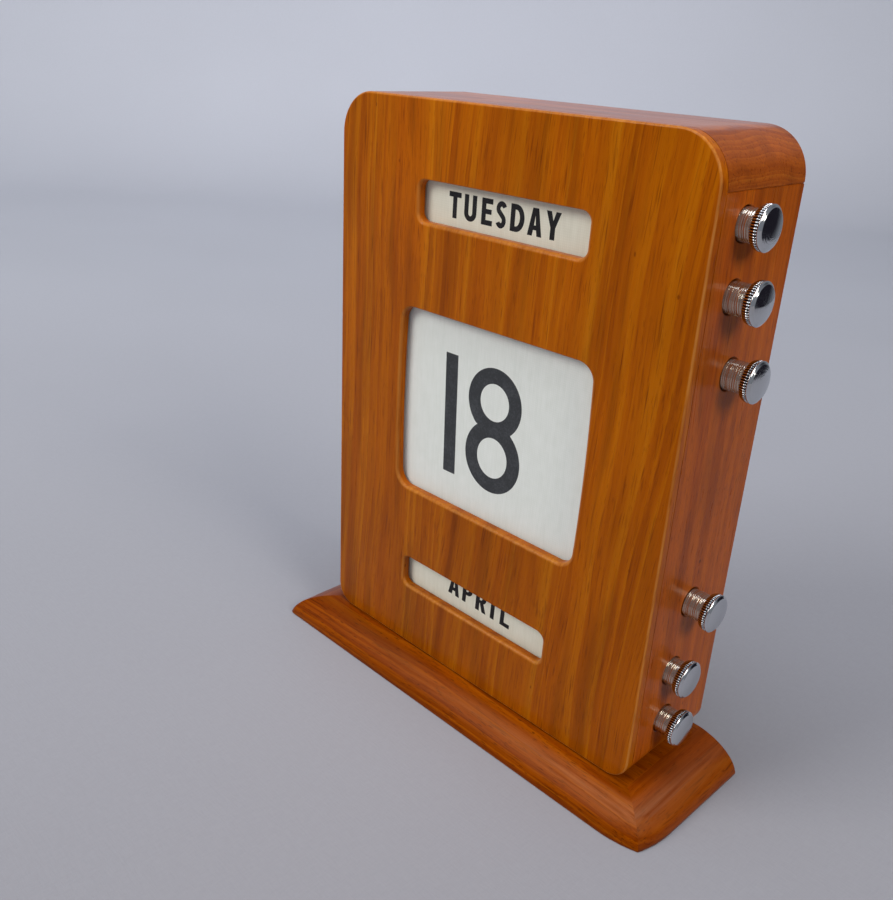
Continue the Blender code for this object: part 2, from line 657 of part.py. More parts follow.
def make_roller(roller, wood, chrome, steel, felt, linen):
    """A roller with its knob, pin, coil of band and felt washer, on one axis."""
    axis = bpy.data.objects.new(roller.name + "_axis", None)
    axis.location = (0, roller.depth, roller.height)
    bpy.context.scene.collection.objects.link(axis)
    left, right = roller_profile()
    skin = ((ROLLER_LEFT, roller.core_radius), (ROLLER_RIGHT, roller.core_radius))
    core = turned((*left, *skin, *right), ROUND_STEPS)
    add_object(roller.name + "_roller", core, wood, parent=axis, smooth=True)
    knob = turned(knob_profile(roller.stand), KNOB_STEPS)
    add_object(roller.name + "_knob", knob, chrome, parent=axis, smooth=True)
    tip, end = -INNER_HALF - PIN_IN_BOARD, ROLLER_LEFT + PIN_IN_ROLLER
    pin = turned(((tip, 0), (tip, PIN_RADIUS), (end, PIN_RADIUS), (end, 0)), SCREW_STEPS)
    add_object(roller.name + "_pin", pin, steel, parent=axis, smooth=True)
    coil = ring_profile(-BAND_WIDTH / 2, BAND_WIDTH / 2, roller.core_radius + WRAP_GAP, roller.coil_radius)
    add_object(roller.name + "_coil", turned(coil, ROUND_STEPS, closed=True), linen, parent=axis, smooth=True)
    washer_left = ROLLER_RIGHT + RUNNING_GAP
    washer_right = washer_left + WASHER_THICKNESS
    washer = ring_profile(washer_left, washer_right, STEM_RADIUS + RUNNING_GAP, WASHER_RADIUS)
    washer_mesh = turned(washer, ROUND_STEPS, closed=True)
    add_object(roller.name + "_washer", washer_mesh, felt, axis.location, smooth=True)


def make_guides(windows, steel):
    """The six rods that hold the bands close behind the windows."""
    reach = INNER_HALF + GUIDE_SOCKET_DEPTH
    profile = ((-reach, 0), (-reach, GUIDE_RADIUS), (reach, GUIDE_RADIUS), (reach, 0))
    for band, window in windows.items():
        for side, place in ((1, "upper"), (-1, "lower")):
            spot = (0, GUIDE_DEPTH, window.guide_height(side))
            add_object(f"{band}_{place}_guide", turned(profile, SCREW_STEPS), steel, spot, smooth=True)


def half_of_band(roller, guide_height, side):
    """(centre, radius, angle) from the front of a guide rod round it and on to the roller's coil."""
    coil, guide = Vector((roller.depth, roller.height)), Vector((GUIDE_DEPTH, guide_height))
    coil_reach, guide_reach = roller.coil_radius + SEAM, GUIDE_RADIUS + WRAP_GAP
    run = guide - coil
    opening = math.acos((coil_reach - guide_reach) / run.length)
    last = math.atan2(run.y, run.x) % math.tau - side * opening
    front = 2 * QUARTER_TURN
    turns = [front + (last - front) * step / WRAP_STEPS for step in range(WRAP_STEPS + 1)]
    return [(guide, guide_reach, turn) for turn in turns] + [(coil, coil_reach, last)]


def make_band(name, upper, lower, window, material):
    """The stretch of a band from its lower coil, over both guide rods, to its upper coil."""
    low = half_of_band(lower, window.guide_height(-1), -1)
    path = low[::-1] + half_of_band(upper, window.guide_height(1), 1)
    mesh = bmesh.new()
    half = BAND_WIDTH / 2
    loops = []
    for centre, reach, turn in path:
        out = Vector((math.cos(turn), math.sin(turn)))
        inner, outer = centre + out * reach, centre + out * (reach + BAND_THICKNESS)
        corners = ((-half, inner), (half, inner), (half, outer), (-half, outer))
        loops.append([mesh.verts.new((x, corner.x, corner.y)) for x, corner in corners])
    for before, after in zip(loops, loops[1:]):
        join_loops(mesh, before, after)
    mesh.faces.new(loops[0])
    mesh.faces.new(loops[-1])
    bmesh.ops.recalc_face_normals(mesh, faces=mesh.faces)
    return add_object(name, mesh, material)


def main():
    clear_scene()
    teak = make_material("teak_front", (0.42, 0.14, 0.02), 0.28)
    side_teak = make_material("teak_sides", (0.30, 0.09, 0.025), 0.28)
    base_teak = make_material("teak_base", (0.32, 0.10, 0.02), 0.25)
    beech = make_material("beech_rollers", (0.62, 0.42, 0.24), 0.6)
    chrome = make_material("chrome_knobs", (0.75, 0.76, 0.78), 0.08, 1.0)
    steel = make_material("steel_pins", (0.45, 0.45, 0.46), 0.35, 1.0)
    brass = make_material("brass_screws", (0.62, 0.43, 0.15), 0.3, 1.0)
    felt = make_material("felt_washers", (0.03, 0.09, 0.05), 0.95)
    linen = make_material("printed_linen", (0.80, 0.80, 0.74), 0.8)

    rollers = make_rollers()
    windows = make_windows(rollers)
    make_base(base_teak)
    make_case(rollers, windows, teak, side_teak)
    make_screws(brass)
    make_guides(windows, steel)
    for roller in rollers.values():
        make_roller(roller, beech, chrome, steel, felt, linen)
    for band, window in windows.items():
        make_band(band + "_band", rollers[band + "_upper"], rollers[band + "_lower"], window, linen)


main()
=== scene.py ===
"""Dress of the perpetual desk calendar: teak case and base, printed bands, chromed knobs.

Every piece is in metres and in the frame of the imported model, front towards -Y, +Z up. The classes
are the calendar's sub-assemblies, and each finish is a small class named for the real material.
"""

from __future__ import annotations

import logging
import math
from collections.abc import Iterable, Sequence
from dataclasses import dataclass, field
from enum import Enum
from typing import ClassVar

import bmesh
import bpy
from mathutils import Euler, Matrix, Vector


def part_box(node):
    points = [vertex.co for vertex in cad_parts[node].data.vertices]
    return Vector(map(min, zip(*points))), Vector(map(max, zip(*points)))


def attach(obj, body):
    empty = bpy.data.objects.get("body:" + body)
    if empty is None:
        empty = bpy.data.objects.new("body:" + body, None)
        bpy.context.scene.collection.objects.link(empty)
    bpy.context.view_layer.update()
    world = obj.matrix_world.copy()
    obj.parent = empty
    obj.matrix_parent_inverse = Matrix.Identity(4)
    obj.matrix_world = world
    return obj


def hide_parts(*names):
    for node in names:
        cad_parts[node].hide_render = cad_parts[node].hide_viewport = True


LOG = logging.getLogger("desk_calendar")
MM = 0.001
Point2 = tuple[float, float]
Point3 = tuple[float, float, float]
Colour = tuple[float, float, float, float]
Ring = list[bmesh.types.BMVert]
Shape = bmesh.types.BMesh
Piece = bpy.types.Object
Node = bpy.types.Node
Socket = bpy.types.NodeSocket

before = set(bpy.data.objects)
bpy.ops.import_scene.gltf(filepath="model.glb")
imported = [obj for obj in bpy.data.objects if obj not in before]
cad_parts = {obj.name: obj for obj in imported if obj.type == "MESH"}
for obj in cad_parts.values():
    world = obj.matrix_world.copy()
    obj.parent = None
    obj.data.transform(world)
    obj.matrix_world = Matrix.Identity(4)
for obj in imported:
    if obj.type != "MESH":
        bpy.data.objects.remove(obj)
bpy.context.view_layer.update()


# Shared tools


def linear(shade: str) -> Colour:
    """Turns an sRGB hex colour into linear values.

    Args:
        shade: The colour, such as "#9c5811".

    Returns:
        Red, green, blue and full opacity.
    """
    parts = [int(shade[start : start + 2], 16) / 255 for start in (1, 3, 5)]
    red, green, blue = [
        part / 12.92 if part <= 0.04045 else ((part + 0.055) / 1.055) ** 2.4 for part in parts
    ]
    return red, green, blue, 1.0


@dataclass
class Recipe:
    """A node tree that is being filled. A source is a node, a socket or a plain value."""

    tree: bpy.types.NodeTree

    def feed(self, node: Node, sources: dict[str | int, object]) -> None:
        """Links or sets a node's inputs.

        Args:
            node: The node.
            sources: The source of each input named or numbered.
        """
        for key, source in sources.items():
            if isinstance(source, Node):
                source = source.outputs[0]
            if isinstance(source, Socket):
                self.tree.links.new(source, node.inputs[key])
            else:
                node.inputs[key].default_value = source

    def add(
        self, kind: str, sources: dict[str | int, object] | None = None, **settings: object
    ) -> Node:
        """Adds one node with its sources and its own settings.

        Args:
            kind: The node's type.
            sources: The source of each input named or numbered.
            settings: The node's own settings.

        Returns:
            The new node.
        """
        node = self.tree.nodes.new(kind)
        for name, value in settings.items():
            setattr(node, name, value)
        self.feed(node, sources or {})
        return node

    def calc(self, operation: str, *sources: object) -> Node:
        """Adds arithmetic on numbers."""
        return self.add("ShaderNodeMath", dict(enumerate(sources)), operation=operation)

    def vector(self, operation: str, *sources: object) -> Node:
        """Adds arithmetic on vectors."""
        return self.add("ShaderNodeVectorMath", dict(enumerate(sources)), operation=operation)

    def scaled(self, source: object, factor: object) -> Node:
        """Adds a vector times a number."""
        return self.add("ShaderNodeVectorMath", {0: source, "Scale": factor}, operation="SCALE")

    def span(
        self, value: object, start: float, end: float, low: float = 0.0, high: float = 1.0
    ) -> Node:
        """Adds a map from the range start to end onto the range low to high, held at both ends."""
        limits = {"From Min": start, "From Max": end, "To Min": low, "To Max": high}
        return self.add("ShaderNodeMapRange", {"Value": value, **limits})

    def blend(self, share: object, first: object, second: object) -> Node:
        """Adds a mix of two numbers."""
        return self.add("ShaderNodeMix", {0: share, 2: first, 3: second}, data_type="FLOAT")

    def tint(self, share: object, first: object, second: object) -> Socket:
        """Adds a mix of two colours, each a source or a hex colour."""
        tones = [linear(tone) if isinstance(tone, str) else tone for tone in (first, second)]
        sources = {0: share, 6: tones[0], 7: tones[1]}
        return self.add("ShaderNodeMix", sources, data_type="RGBA").outputs[2]

    def ramp(self, value: object, *stops: tuple[float, object]) -> Node:
        """Adds a colour ramp whose stops are hex colours or shares of white."""
        node = self.add("ShaderNodeValToRGB", {"Fac": value})
        elements = node.color_ramp.elements
        while len(elements) < len(stops):
            elements.new(1.0)
        for element, (place, tone) in zip(elements, stops):
            element.position = place
            element.color = linear(tone) if isinstance(tone, str) else (tone, tone, tone, 1.0)
        return node

    def noise(
        self,
        place: object,
        stretch: Point3 | None = None,
        scale: float = 1.0,
        detail: float = 2.0,
        rough: float = 0.5,
    ) -> Node:
        """Adds cloudy noise.

        Args:
            place: The source of its coordinates.
            stretch: What these are multiplied by along each axis.
            scale: The noise's scale.
            detail: How many finer layers it has.
            rough: How strong these are.

        Returns:
            The noise node.
        """
        if stretch is not None:
            place = self.vector("MULTIPLY", place, stretch)
        sources = {"Vector": place, "Scale": scale, "Detail": detail, "Roughness": rough}
        return self.add("ShaderNodeTexNoise", sources)

    def line_noise(self, along: object, scale: float, detail: float) -> Node:
        """Adds noise along one number."""
        sources = {"W": along, "Scale": scale, "Detail": detail}
        return self.add("ShaderNodeTexNoise", sources, noise_dimensions="1D")

    def place(self) -> Socket:
        """Adds the object's own coordinates in metres."""
        return self.add("ShaderNodeTexCoord").outputs["Object"]

    def mapped(self, place: object, scale: Point3, turn: Point3 = (0.0, 0.0, 0.0)) -> Node:
        """Adds coordinates turned and scaled."""
        return self.add("ShaderNodeMapping", {"Vector": place, "Rotation": turn, "Scale": scale})

    def mark(self, name: str) -> Socket:
        """Adds a number that the mesh carries under this name."""
        return self.add("ShaderNodeAttribute", attribute_name=name).outputs["Fac"]

    def bump(self, height: object, strength: float, distance: float) -> Node:
        """Adds fine relief."""
        sources = {"Height": height, "Strength": strength, "Distance": distance}
        return self.add("ShaderNodeBump", sources)


def start_tree(name: str, inputs: dict[str, str]) -> tuple[Recipe, bpy.types.NodeOutputs]:
    """Starts a geometry tree with geometry at both ends.

    Args:
        name: The tree's name.
        inputs: Its other inputs, each with its kind.

    Returns:
        The tree's recipe and what it is given.
    """
    recipe = Recipe(bpy.data.node_groups.new(name, "GeometryNodeTree"))
    plan = recipe.tree.interface
    for title, kind in {"Geometry": "Geometry", **inputs}.items():
        plan.new_socket(title, in_out="INPUT", socket_type=f"NodeSocket{kind}")
    plan.new_socket("Geometry", in_out="OUTPUT", socket_type="NodeSocketGeometry")
    return recipe, recipe.add("NodeGroupInput").outputs


def end_tree(recipe: Recipe, shape: object, metal: Socket) -> bpy.types.NodeTree:
    """Ends a geometry tree: real geometry in its material.

    Args:
        recipe: The tree's recipe.
        shape: The source of its geometry.
        metal: The socket that gives its material.

    Returns:
        The finished tree.
    """
    real = recipe.add("GeometryNodeRealizeInstances", {0: shape})
    dressed = recipe.add("GeometryNodeSetMaterial", {"Geometry": real, "Material": metal})
    recipe.add("NodeGroupOutput", {0: dressed})
    return recipe.tree


def run_tree(piece: Piece, tree: bpy.types.NodeTree, values: dict[str, object]) -> None:
    """Runs a geometry tree on a piece and leaves it a plain mesh.

    Args:
        piece: The piece.
        tree: The tree.
        values: A value for each of its named inputs.
    """
    modifier = piece.modifiers.new(tree.name, "NODES")
    modifier.node_group = tree
    for item in tree.interface.items_tree:
        if item.item_type == "SOCKET" and item.in_out == "INPUT" and item.name in values:
            modifier[item.identifier] = values[item.name]
    settle(piece)


def make_piece(name: str, mesh_source: Shape, smooth_angle: float = 30.0) -> Piece:
    """Turns a bmesh into an object at the origin.

    Args:
        name: The piece's name.
        mesh_source: Its shape, which is freed.
        smooth_angle: Edges sharper than this many degrees stay sharp.

    Returns:
        The new object.
    """
    mesh = bpy.data.meshes.new(name)
    mesh_source.to_mesh(mesh)
    mesh_source.free()
    mesh.shade_smooth()
    mesh.set_sharp_from_angle(angle=math.radians(smooth_angle))
    piece = bpy.data.objects.new(name, mesh)
    bpy.context.scene.collection.objects.link(piece)
    return piece


def settle(piece: Piece) -> None:
    """Turns a piece with live modifiers into the plain mesh that they give.

    Args:
        piece: The piece, whose modifiers are removed.
    """
    graph = bpy.context.evaluated_depsgraph_get()
    graph.update()
    made = bpy.data.meshes.new_from_object(piece.evaluated_get(graph), depsgraph=graph)
    piece.modifiers.clear()
    old = piece.data
    piece.data = made
    made.name = piece.name
    bpy.data.meshes.remove(old)


def dress(piece: Piece, finish: Finish, body: str, nodes: Iterable[str]) -> None:
    """Gives a finished piece its material, its body and the nodes that it stands for.

    Args:
        piece: The piece.
        finish: Its finish.
        body: The CAD body that it rides on.
        nodes: The CAD nodes that it replaces.
    """
    piece.data.materials.clear()
    piece.data.materials.append(finish.material())
    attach(piece, body)
    for node in nodes:
        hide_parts(node)
    faces = len(piece.data.polygons)
    LOG.info("%s: %d faces, %s, on %s", piece.name, faces, finish.name, body)


def add_ring(mesh: Shape, points: Iterable[Sequence[float]]) -> Ring:
    """Adds one closed loop of vertices."""
    return [mesh.verts.new(point) for point in points]


def bridge(mesh: Shape, rings: Sequence[Ring], closed: bool = True) -> None:
    """Joins rings with as many vertices one after another.

    Args:
        mesh: The shape.
        rings: The rings, in order.
        closed: Whether each ring's ends are joined too.
    """
    for before, after in zip(rings, rings[1:]):
        for index in range(0 if closed else 1, len(before)):
            mesh.faces.new((before[index - 1], before[index], after[index], after[index - 1]))


def fill_between(mesh: Shape, rings: Iterable[Ring]) -> None:
    """Fills a flat face inside its first ring and around any holes.

    Args:
        mesh: The shape.
        rings: The outline and the holes, as loops of joined vertices.
    """
    edges = []
    for ring in rings:
        for index, vert in enumerate(ring):
            found = mesh.edges.get((ring[index - 1], vert))
            edges.append(found or mesh.edges.new((ring[index - 1], vert)))
    bmesh.ops.triangle_fill(mesh, use_beauty=True, use_dissolve=False, edges=edges)


def prism(outline: Iterable[Point2], front: float, back: float) -> Shape:
    """Draws an outline back between two depths.

    Args:
        outline: Points (x, z) in mm.
        front: Y of its front in metres.
        back: Y of its back in metres.

    Returns:
        The closed shape.
    """
    mesh = bmesh.new()
    points = list(outline)
    rings = [add_ring(mesh, [(x * MM, depth, z * MM) for x, z in points]) for depth in (front, back)]
    bridge(mesh, rings)
    for ring in rings:
        mesh.faces.new(ring)
    bmesh.ops.recalc_face_normals(mesh, faces=mesh.faces)
    return mesh


def cut_out(piece: Piece, cutters: Iterable[Piece], smooth_angle: float = 25.0) -> None:
    """Cuts shapes out of a piece and removes them.

    Args:
        piece: The piece.
        cutters: The shapes to cut out.
        smooth_angle: Edges sharper than this many degrees stay sharp.
    """
    cutters = list(cutters)
    for cutter in cutters:
        cut = piece.modifiers.new("cut", "BOOLEAN")
        cut.operation = "DIFFERENCE"
        cut.solver = "EXACT"
        cut.object = cutter
    settle(piece)
    for cutter in cutters:
        bpy.data.objects.remove(cutter)
    piece.data.shade_smooth()
    piece.data.set_sharp_from_angle(angle=math.radians(smooth_angle))


def arc(centre: Point2, radius: Point2, start: float, end: float, steps: int) -> list[Point2]:
    """Points along an upright ellipse's arc.

    Args:
        centre: The middle.
        radius: The half-width and the half-height.
        start: The first angle in degrees.
        end: The last angle in degrees.
        steps: The number of steps between them.

    Returns:
        The points, both ends included.
    """
    angles = [math.radians(start + (end - start) * step / steps) for step in range(steps + 1)]
    return [(centre[0] + radius[0] * math.cos(a), centre[1] + radius[1] * math.sin(a)) for a in angles]


def turned(
    profile: Sequence[Point2],
    steps: int,
    depth: float,
    height: float,
    marks: dict[str, Sequence[float]] | None = None,
) -> Shape:
    """Turns (along, radius) points about a line along X.

    Args:
        profile: The points, from axis to axis, or a loop that stays off the axis.
        steps: Steps round the turn.
        depth: Y of the line.
        height: Z of the line.
        marks: Vertex attributes to add, each with a value for every point of the profile.

    Returns:
        The closed shape, with the length along the profile in mm kept as "lathe".
    """
    mesh = bmesh.new()
    for name in ("lathe", *(marks or {})):
        mesh.verts.layers.float.new(name)
    lathe = mesh.verts.layers.float["lathe"]
    layers = {name: mesh.verts.layers.float[name] for name in marks or {}}
    rings, run, before = [], 0.0, profile[0]
    for index, (along, radius) in enumerate(profile):
        run += math.dist(before, (along, radius)) / MM
        before = (along, radius)
        count = 1 if radius == 0 else steps
        ring = []
        for step in range(count):
            angle = math.tau * step / steps
            vert = mesh.verts.new(
                (along, depth + radius * math.cos(angle), height + radius * math.sin(angle))
            )
            vert[lathe] = run
            for name, layer in layers.items():
                vert[layer] = marks[name][index]
            ring.append(vert)
        rings.append(ring)
    if len(rings[0]) > 1 and len(rings[-1]) > 1:
        rings.append(rings[0])
    for first, second in zip(rings, rings[1:]):
        for index in range(max(len(first), len(second))):
            if len(first) == 1:
                corners = (first[0], second[index - 1], second[index])
            elif len(second) == 1:
                corners = (first[index - 1], second[0], first[index])
            else:
                corners = (first[index - 1], second[index - 1], second[index], first[index])
            mesh.faces.new(corners)
    bmesh.ops.recalc_face_normals(mesh, faces=mesh.faces)
    return mesh


def axis_of(node: str) -> Point3:
    """Middle and reach of a round CAD node that turns about X.

    Args:
        node: The node's name.

    Returns:
        Y and Z of its axis, and its outer radius.
    """
    low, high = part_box(node)
    return (low.y + high.y) / 2, (low.z + high.z) / 2, (high.z - low.z) / 2


# Finishes


class GrainWay(Enum):
    """Which way a board's grain runs, as the turn that stands it upright."""

    UPRIGHT = (0.0, math.radians(-2.5), 0.0)
    SIDEWAYS = (0.0, math.radians(-90), 0.0)
    ENDWAYS = (math.radians(90), 0.0, 0.0)


@dataclass(frozen=True)
class Finish:
    """What all finishes share: a name, and one material made at its first use."""

    name: str

    def material(self) -> bpy.types.Material:
        """The finish's material."""
        made = bpy.data.materials.get(self.name)
        if made is None:
            made = bpy.data.materials.new(self.name)
            made.use_nodes = True
            made.node_tree.nodes.clear()
            recipe = Recipe(made.node_tree)
            shader = recipe.add("ShaderNodeBsdfPrincipled")
            recipe.add("ShaderNodeOutputMaterial", {"Surface": shader})
            self.fill(recipe, shader)
        return made

    def fill(self, recipe: Recipe, shader: Node) -> None:
        """Adds the nodes of this finish before its shader."""
        raise NotImplementedError


@dataclass(frozen=True)
class VarnishedTeak(Finish):
    """Teak under brushed varnish: warm bands of growth, dark pores, and a satin-gloss skin over them.

    Each pattern's stretch gives its waves per mm across the grain, twice, and along it.
    """

    tones: tuple[str, str, str, str]
    vein: str
    # Paler tone on rounded edges: partly rubbed varnish, partly painted highlight
    worn_and_lit: str
    way: GrainWay
    heart: Point3
    ring_width: float = 7.0
    growth: float = 1.0
    pores: float = 1.0
    coat: float = 0.28
    coat_roughness: float = 0.14
    coat_ior: float = 1.35
    figure: float = 0.5
    # Painted shade: the tone falls to this share at the foot and rises to full by 0.22 m up
    foot_shade: float = 1.0
    knots: tuple[tuple[float, float, float, float], ...] = ()

    DRIFT: ClassVar[Point3] = (0.016, 0.016, 0.0045)
    DRIFT_REACH: ClassVar[float] = 22.0
    TAPER: ClassVar[Point3] = (1.0, 1.0, 0.03)
    FIBRES: ClassVar[Point3] = (0.85, 0.85, 0.014)
    STREAKS: ClassVar[Point3] = (1.7, 1.7, 0.055)
    PORES: ClassVar[Point3] = (3.2, 3.2, 0.28)
    SPECKS: ClassVar[Point3] = (0.085, 0.085, 0.05)
    GROUPS: ClassVar[Point3] = (0.15, 0.15, 0.009)
    CLOUDS: ClassVar[Point3] = (0.035, 0.035, 0.012)
    BRUSHING: ClassVar[Point3] = (0.22, 0.22, 0.03)
    SEASON: ClassVar[tuple[Point2, ...]] = ((0.0, 0.0), (0.62, 0.5), (0.9, 1.0), (1.0, 0.12))
    TONE_PLACES: ClassVar[tuple[float, ...]] = (0.28, 0.43, 0.55, 0.72)

    def bent_grain(self, recipe: Recipe, place: Socket) -> Node:
        """Coordinates in mm with the grain along Z, bent as slowly as a trunk bends."""
        grain = recipe.mapped(place, (1000.0,) * 3, self.way.value)
        drift = recipe.noise(grain, self.DRIFT).outputs["Color"]
        centred = recipe.vector("SUBTRACT", drift, (0.5, 0.5, 0.5))
        return recipe.vector("ADD", grain, recipe.scaled(centred, self.DRIFT_REACH))

    def growth_tone(self, recipe: Recipe, grain: Node) -> Node:
        """Growth rings: the distance from the log's heart, far outside the board."""
        from_heart = recipe.vector("SUBTRACT", grain, self.heart)
        flat = recipe.vector("MULTIPLY", from_heart, self.TAPER)
        reach = recipe.vector("LENGTH", flat).outputs["Value"]
        years = recipe.calc("DIVIDE", reach, self.ring_width)
        swing = recipe.calc("MULTIPLY", recipe.line_noise(years, 0.31, 2.0), 4.2)
        saw = recipe.calc("FRACT", recipe.calc("ADD", years, swing))
        broad = recipe.line_noise(years, 0.9, 3.0)
        return recipe.blend(0.3 * self.growth, broad, recipe.ramp(saw, *self.SEASON))

    def dark_marks(
        self, recipe: Recipe, place: Socket, grain: Node
    ) -> Node:
        """Streaks 5 to 30 mm long, pores a few mm long and 0.3 mm wide, specks and knots."""
        streak = recipe.span(recipe.noise(grain, self.STREAKS, detail=1.0), 0.57, 0.8, 0.0, 0.7)
        pore = recipe.span(recipe.noise(grain, self.PORES, detail=0.0), 0.66, 0.8, 0.0, 0.55 * self.pores)
        cells = {"Vector": recipe.vector("MULTIPLY", grain, self.SPECKS), "Scale": 1.0}
        nearest = recipe.add("ShaderNodeTexVoronoi", cells).outputs["Distance"]
        found = [streak, pore, recipe.span(nearest, 0.05, 0.03, 0.0, 0.6)]
        for *middle, size in self.knots:
            off = recipe.vector("DISTANCE", place, middle).outputs["Value"]
            found.append(recipe.span(off, size, size / 3, 0.0, 0.85))
        marks = found[0]
        for other in found[1:]:
            marks = recipe.calc("MAXIMUM", marks, other)
        return marks

    def fill(self, recipe: Recipe, shader: Node) -> None:
        """Growth rings about a distant heart, fibres, pores and specks, all in millimetres."""
        place = recipe.place()
        grain = self.bent_grain(recipe, place)
        # Fibres: long thin strands, drawn 0.5 to 1 mm wide so that they show
        fibre = recipe.noise(grain, self.FIBRES, detail=5.0, rough=0.62)
        tone = recipe.blend(0.4, self.growth_tone(recipe, grain), fibre)
        wood = recipe.ramp(tone, *zip(self.TONE_PLACES, self.tones))
        marks = self.dark_marks(recipe, place, grain)
        colour = recipe.tint(marks, wood, self.vein)
        # Groups of streaks, each 4 to 8 mm wide, where the heartwood is redder
        reddish = recipe.span(recipe.noise(grain, self.GROUPS, detail=3.0), 0.5, 0.66, 0.0, self.figure)
        colour = recipe.tint(recipe.calc("MULTIPLY", reddish, fibre), colour, self.vein)
        # Slow change of tone over the board from the tree, and painted shade that darkens it towards the foot
        cloud = recipe.span(recipe.noise(grain, self.CLOUDS, detail=3.0), 0.3, 0.7, 0.84, 1.12)
        height = recipe.add("ShaderNodeSeparateXYZ", {0: place}).outputs["Z"]
        painted_foot_shade = recipe.span(height, 0.03, 0.22, self.foot_shade, 1.0)
        clouded = recipe.scaled(colour, recipe.calc("MULTIPLY", cloud, painted_foot_shade))
        # A paler tone on rounded edges, partly varnish rubbed thin and partly painted highlight, broken up
        # from fibre to fibre
        broken = recipe.span(fibre, 0.1, 0.62)
        rubbed_and_lit = recipe.calc("MULTIPLY", recipe.mark("edge"), broken)
        # The varnish follows the wood faintly, with the slow waves that the brush left
        waves = recipe.noise(grain, self.BRUSHING, detail=3.0)
        skin = recipe.calc("MULTIPLY_ADD", fibre, 0.25, waves)
        relief = recipe.calc("MULTIPLY_ADD", marks, -0.8, fibre)
        sources = {
            "Base Color": recipe.tint(rubbed_and_lit, clouded, self.worn_and_lit),
            "Roughness": recipe.span(fibre, 0.3, 0.7, 0.26, 0.4),
            "Normal": recipe.bump(relief, 0.35, 0.00006),
            "Coat Normal": recipe.bump(skin, 0.3, 0.00008),
            "Coat Weight": self.coat,
            "Coat Roughness": self.coat_roughness,
            "Coat IOR": self.coat_ior,
            "Specular IOR Level": 0.14,
            "Specular Tint": linear(self.tones[2]),
        }
        recipe.feed(shader, sources)


@dataclass(frozen=True)
class TurnedMetal(Finish):
    """Metal worked on a lathe: fine rings round the axis that stretch each reflection along it."""

    tone: str
    roughness: float = 0.06
    ring_depth: float = 0.0004
    ring_scale: float = 1.9
    tarnish: float = 0.12
    brassing: float = 0.0
    tool_haze: float = 0.0
    groove_shade: str = "#2b2435"
    bare_brass: str = "#e0d0a8"

    def fill(self, recipe: Recipe, shader: Node) -> None:
        """Rings from the length along the profile, and a faint haze where fingers touch."""
        haze = recipe.noise(recipe.place(), scale=420.0, detail=3.0)
        base = linear(self.tone)
        dark = tuple(part * 0.55 for part in base[:3]) + (1.0,)
        colour = recipe.tint(recipe.calc("MULTIPLY", haze, self.tarnish), base, dark)
        # Painted shade in the flute grooves, darkest at their bottoms
        colour = recipe.tint(recipe.span(recipe.mark("groove"), 0.15, 0.6), colour, self.groove_shade)
        tooling = recipe.mark("tooling")
        thin_plate = recipe.calc("MULTIPLY", tooling, self.brassing)
        polished = recipe.span(haze, 0.35, 0.75, self.roughness, self.roughness + self.tarnish)
        rings = recipe.line_noise(recipe.mark("lathe"), self.ring_scale, 2.0)
        cuts = recipe.calc("MULTIPLY", rings, tooling)
        sources = {
            "Base Color": recipe.tint(thin_plate, colour, self.bare_brass),
            "Roughness": recipe.calc("MULTIPLY_ADD", tooling, self.tool_haze, polished),
            "Normal": recipe.bump(cuts, 1.0, self.ring_depth),
            "Metallic": 1.0,
        }
        recipe.feed(shader, sources)


@dataclass(frozen=True)
class CalendarLinen(Finish):
    """Sized book linen, printed and calendered: off-white and matt, with a faint even weave."""

    tone: str
    shade: str
    thread: float = 0.42

    def fill(self, recipe: Recipe, shader: Node) -> None:
        """Two sets of threads, drawn twice as coarse as real so that they show, and a little foxing."""
        cloth = recipe.mapped(recipe.place(), (1000.0,) * 3)
        stir = recipe.noise(cloth, scale=0.25)
        waves = {"Vector": cloth, "Scale": 1.0 / self.thread / 6.283, "Distortion": 0.7, "Detail": 1.0}
        warp, weft = [recipe.add("ShaderNodeTexWave", waves, bands_direction=way) for way in "XZ"]
        weave = recipe.calc("MULTIPLY", warp, weft)
        slub = recipe.noise(cloth, (0.9, 0.9, 0.09))
        tone = recipe.blend(0.2, recipe.blend(0.6, stir, slub), weave)
        sources = {
            "Base Color": recipe.ramp(tone, (0.25, self.shade), (0.75, self.tone)),
            "Roughness": recipe.span(slub, 0.0, 1.0, 0.62, 0.8),
            "Normal": recipe.bump(recipe.calc("ADD", weave, slub), 0.25, 0.00004),
            "Specular IOR Level": 0.3,
        }
        recipe.feed(shader, sources)


@dataclass(frozen=True)
class PressInk(Finish):
    """Letterpress ink: nearly black and matt, a little thin where the weave stands up."""

    tone: str
    thin: str

    def fill(self, recipe: Recipe, shader: Node) -> None:
        """Speckled cover over the weave."""
        place = recipe.place()
        cover = recipe.noise(place, scale=1500.0, detail=3.0)
        patch = recipe.noise(place, scale=160.0)
        sources = {
            "Base Color": recipe.ramp(recipe.blend(0.4, cover, patch), (0.45, self.tone), (0.8, self.thin)),
            "Roughness": recipe.span(patch, 0.0, 1.0, 0.5, 0.75),
            "Normal": recipe.bump(cover, 0.2, 0.00002),
            "Specular IOR Level": 0.25,
        }
        recipe.feed(shader, sources)


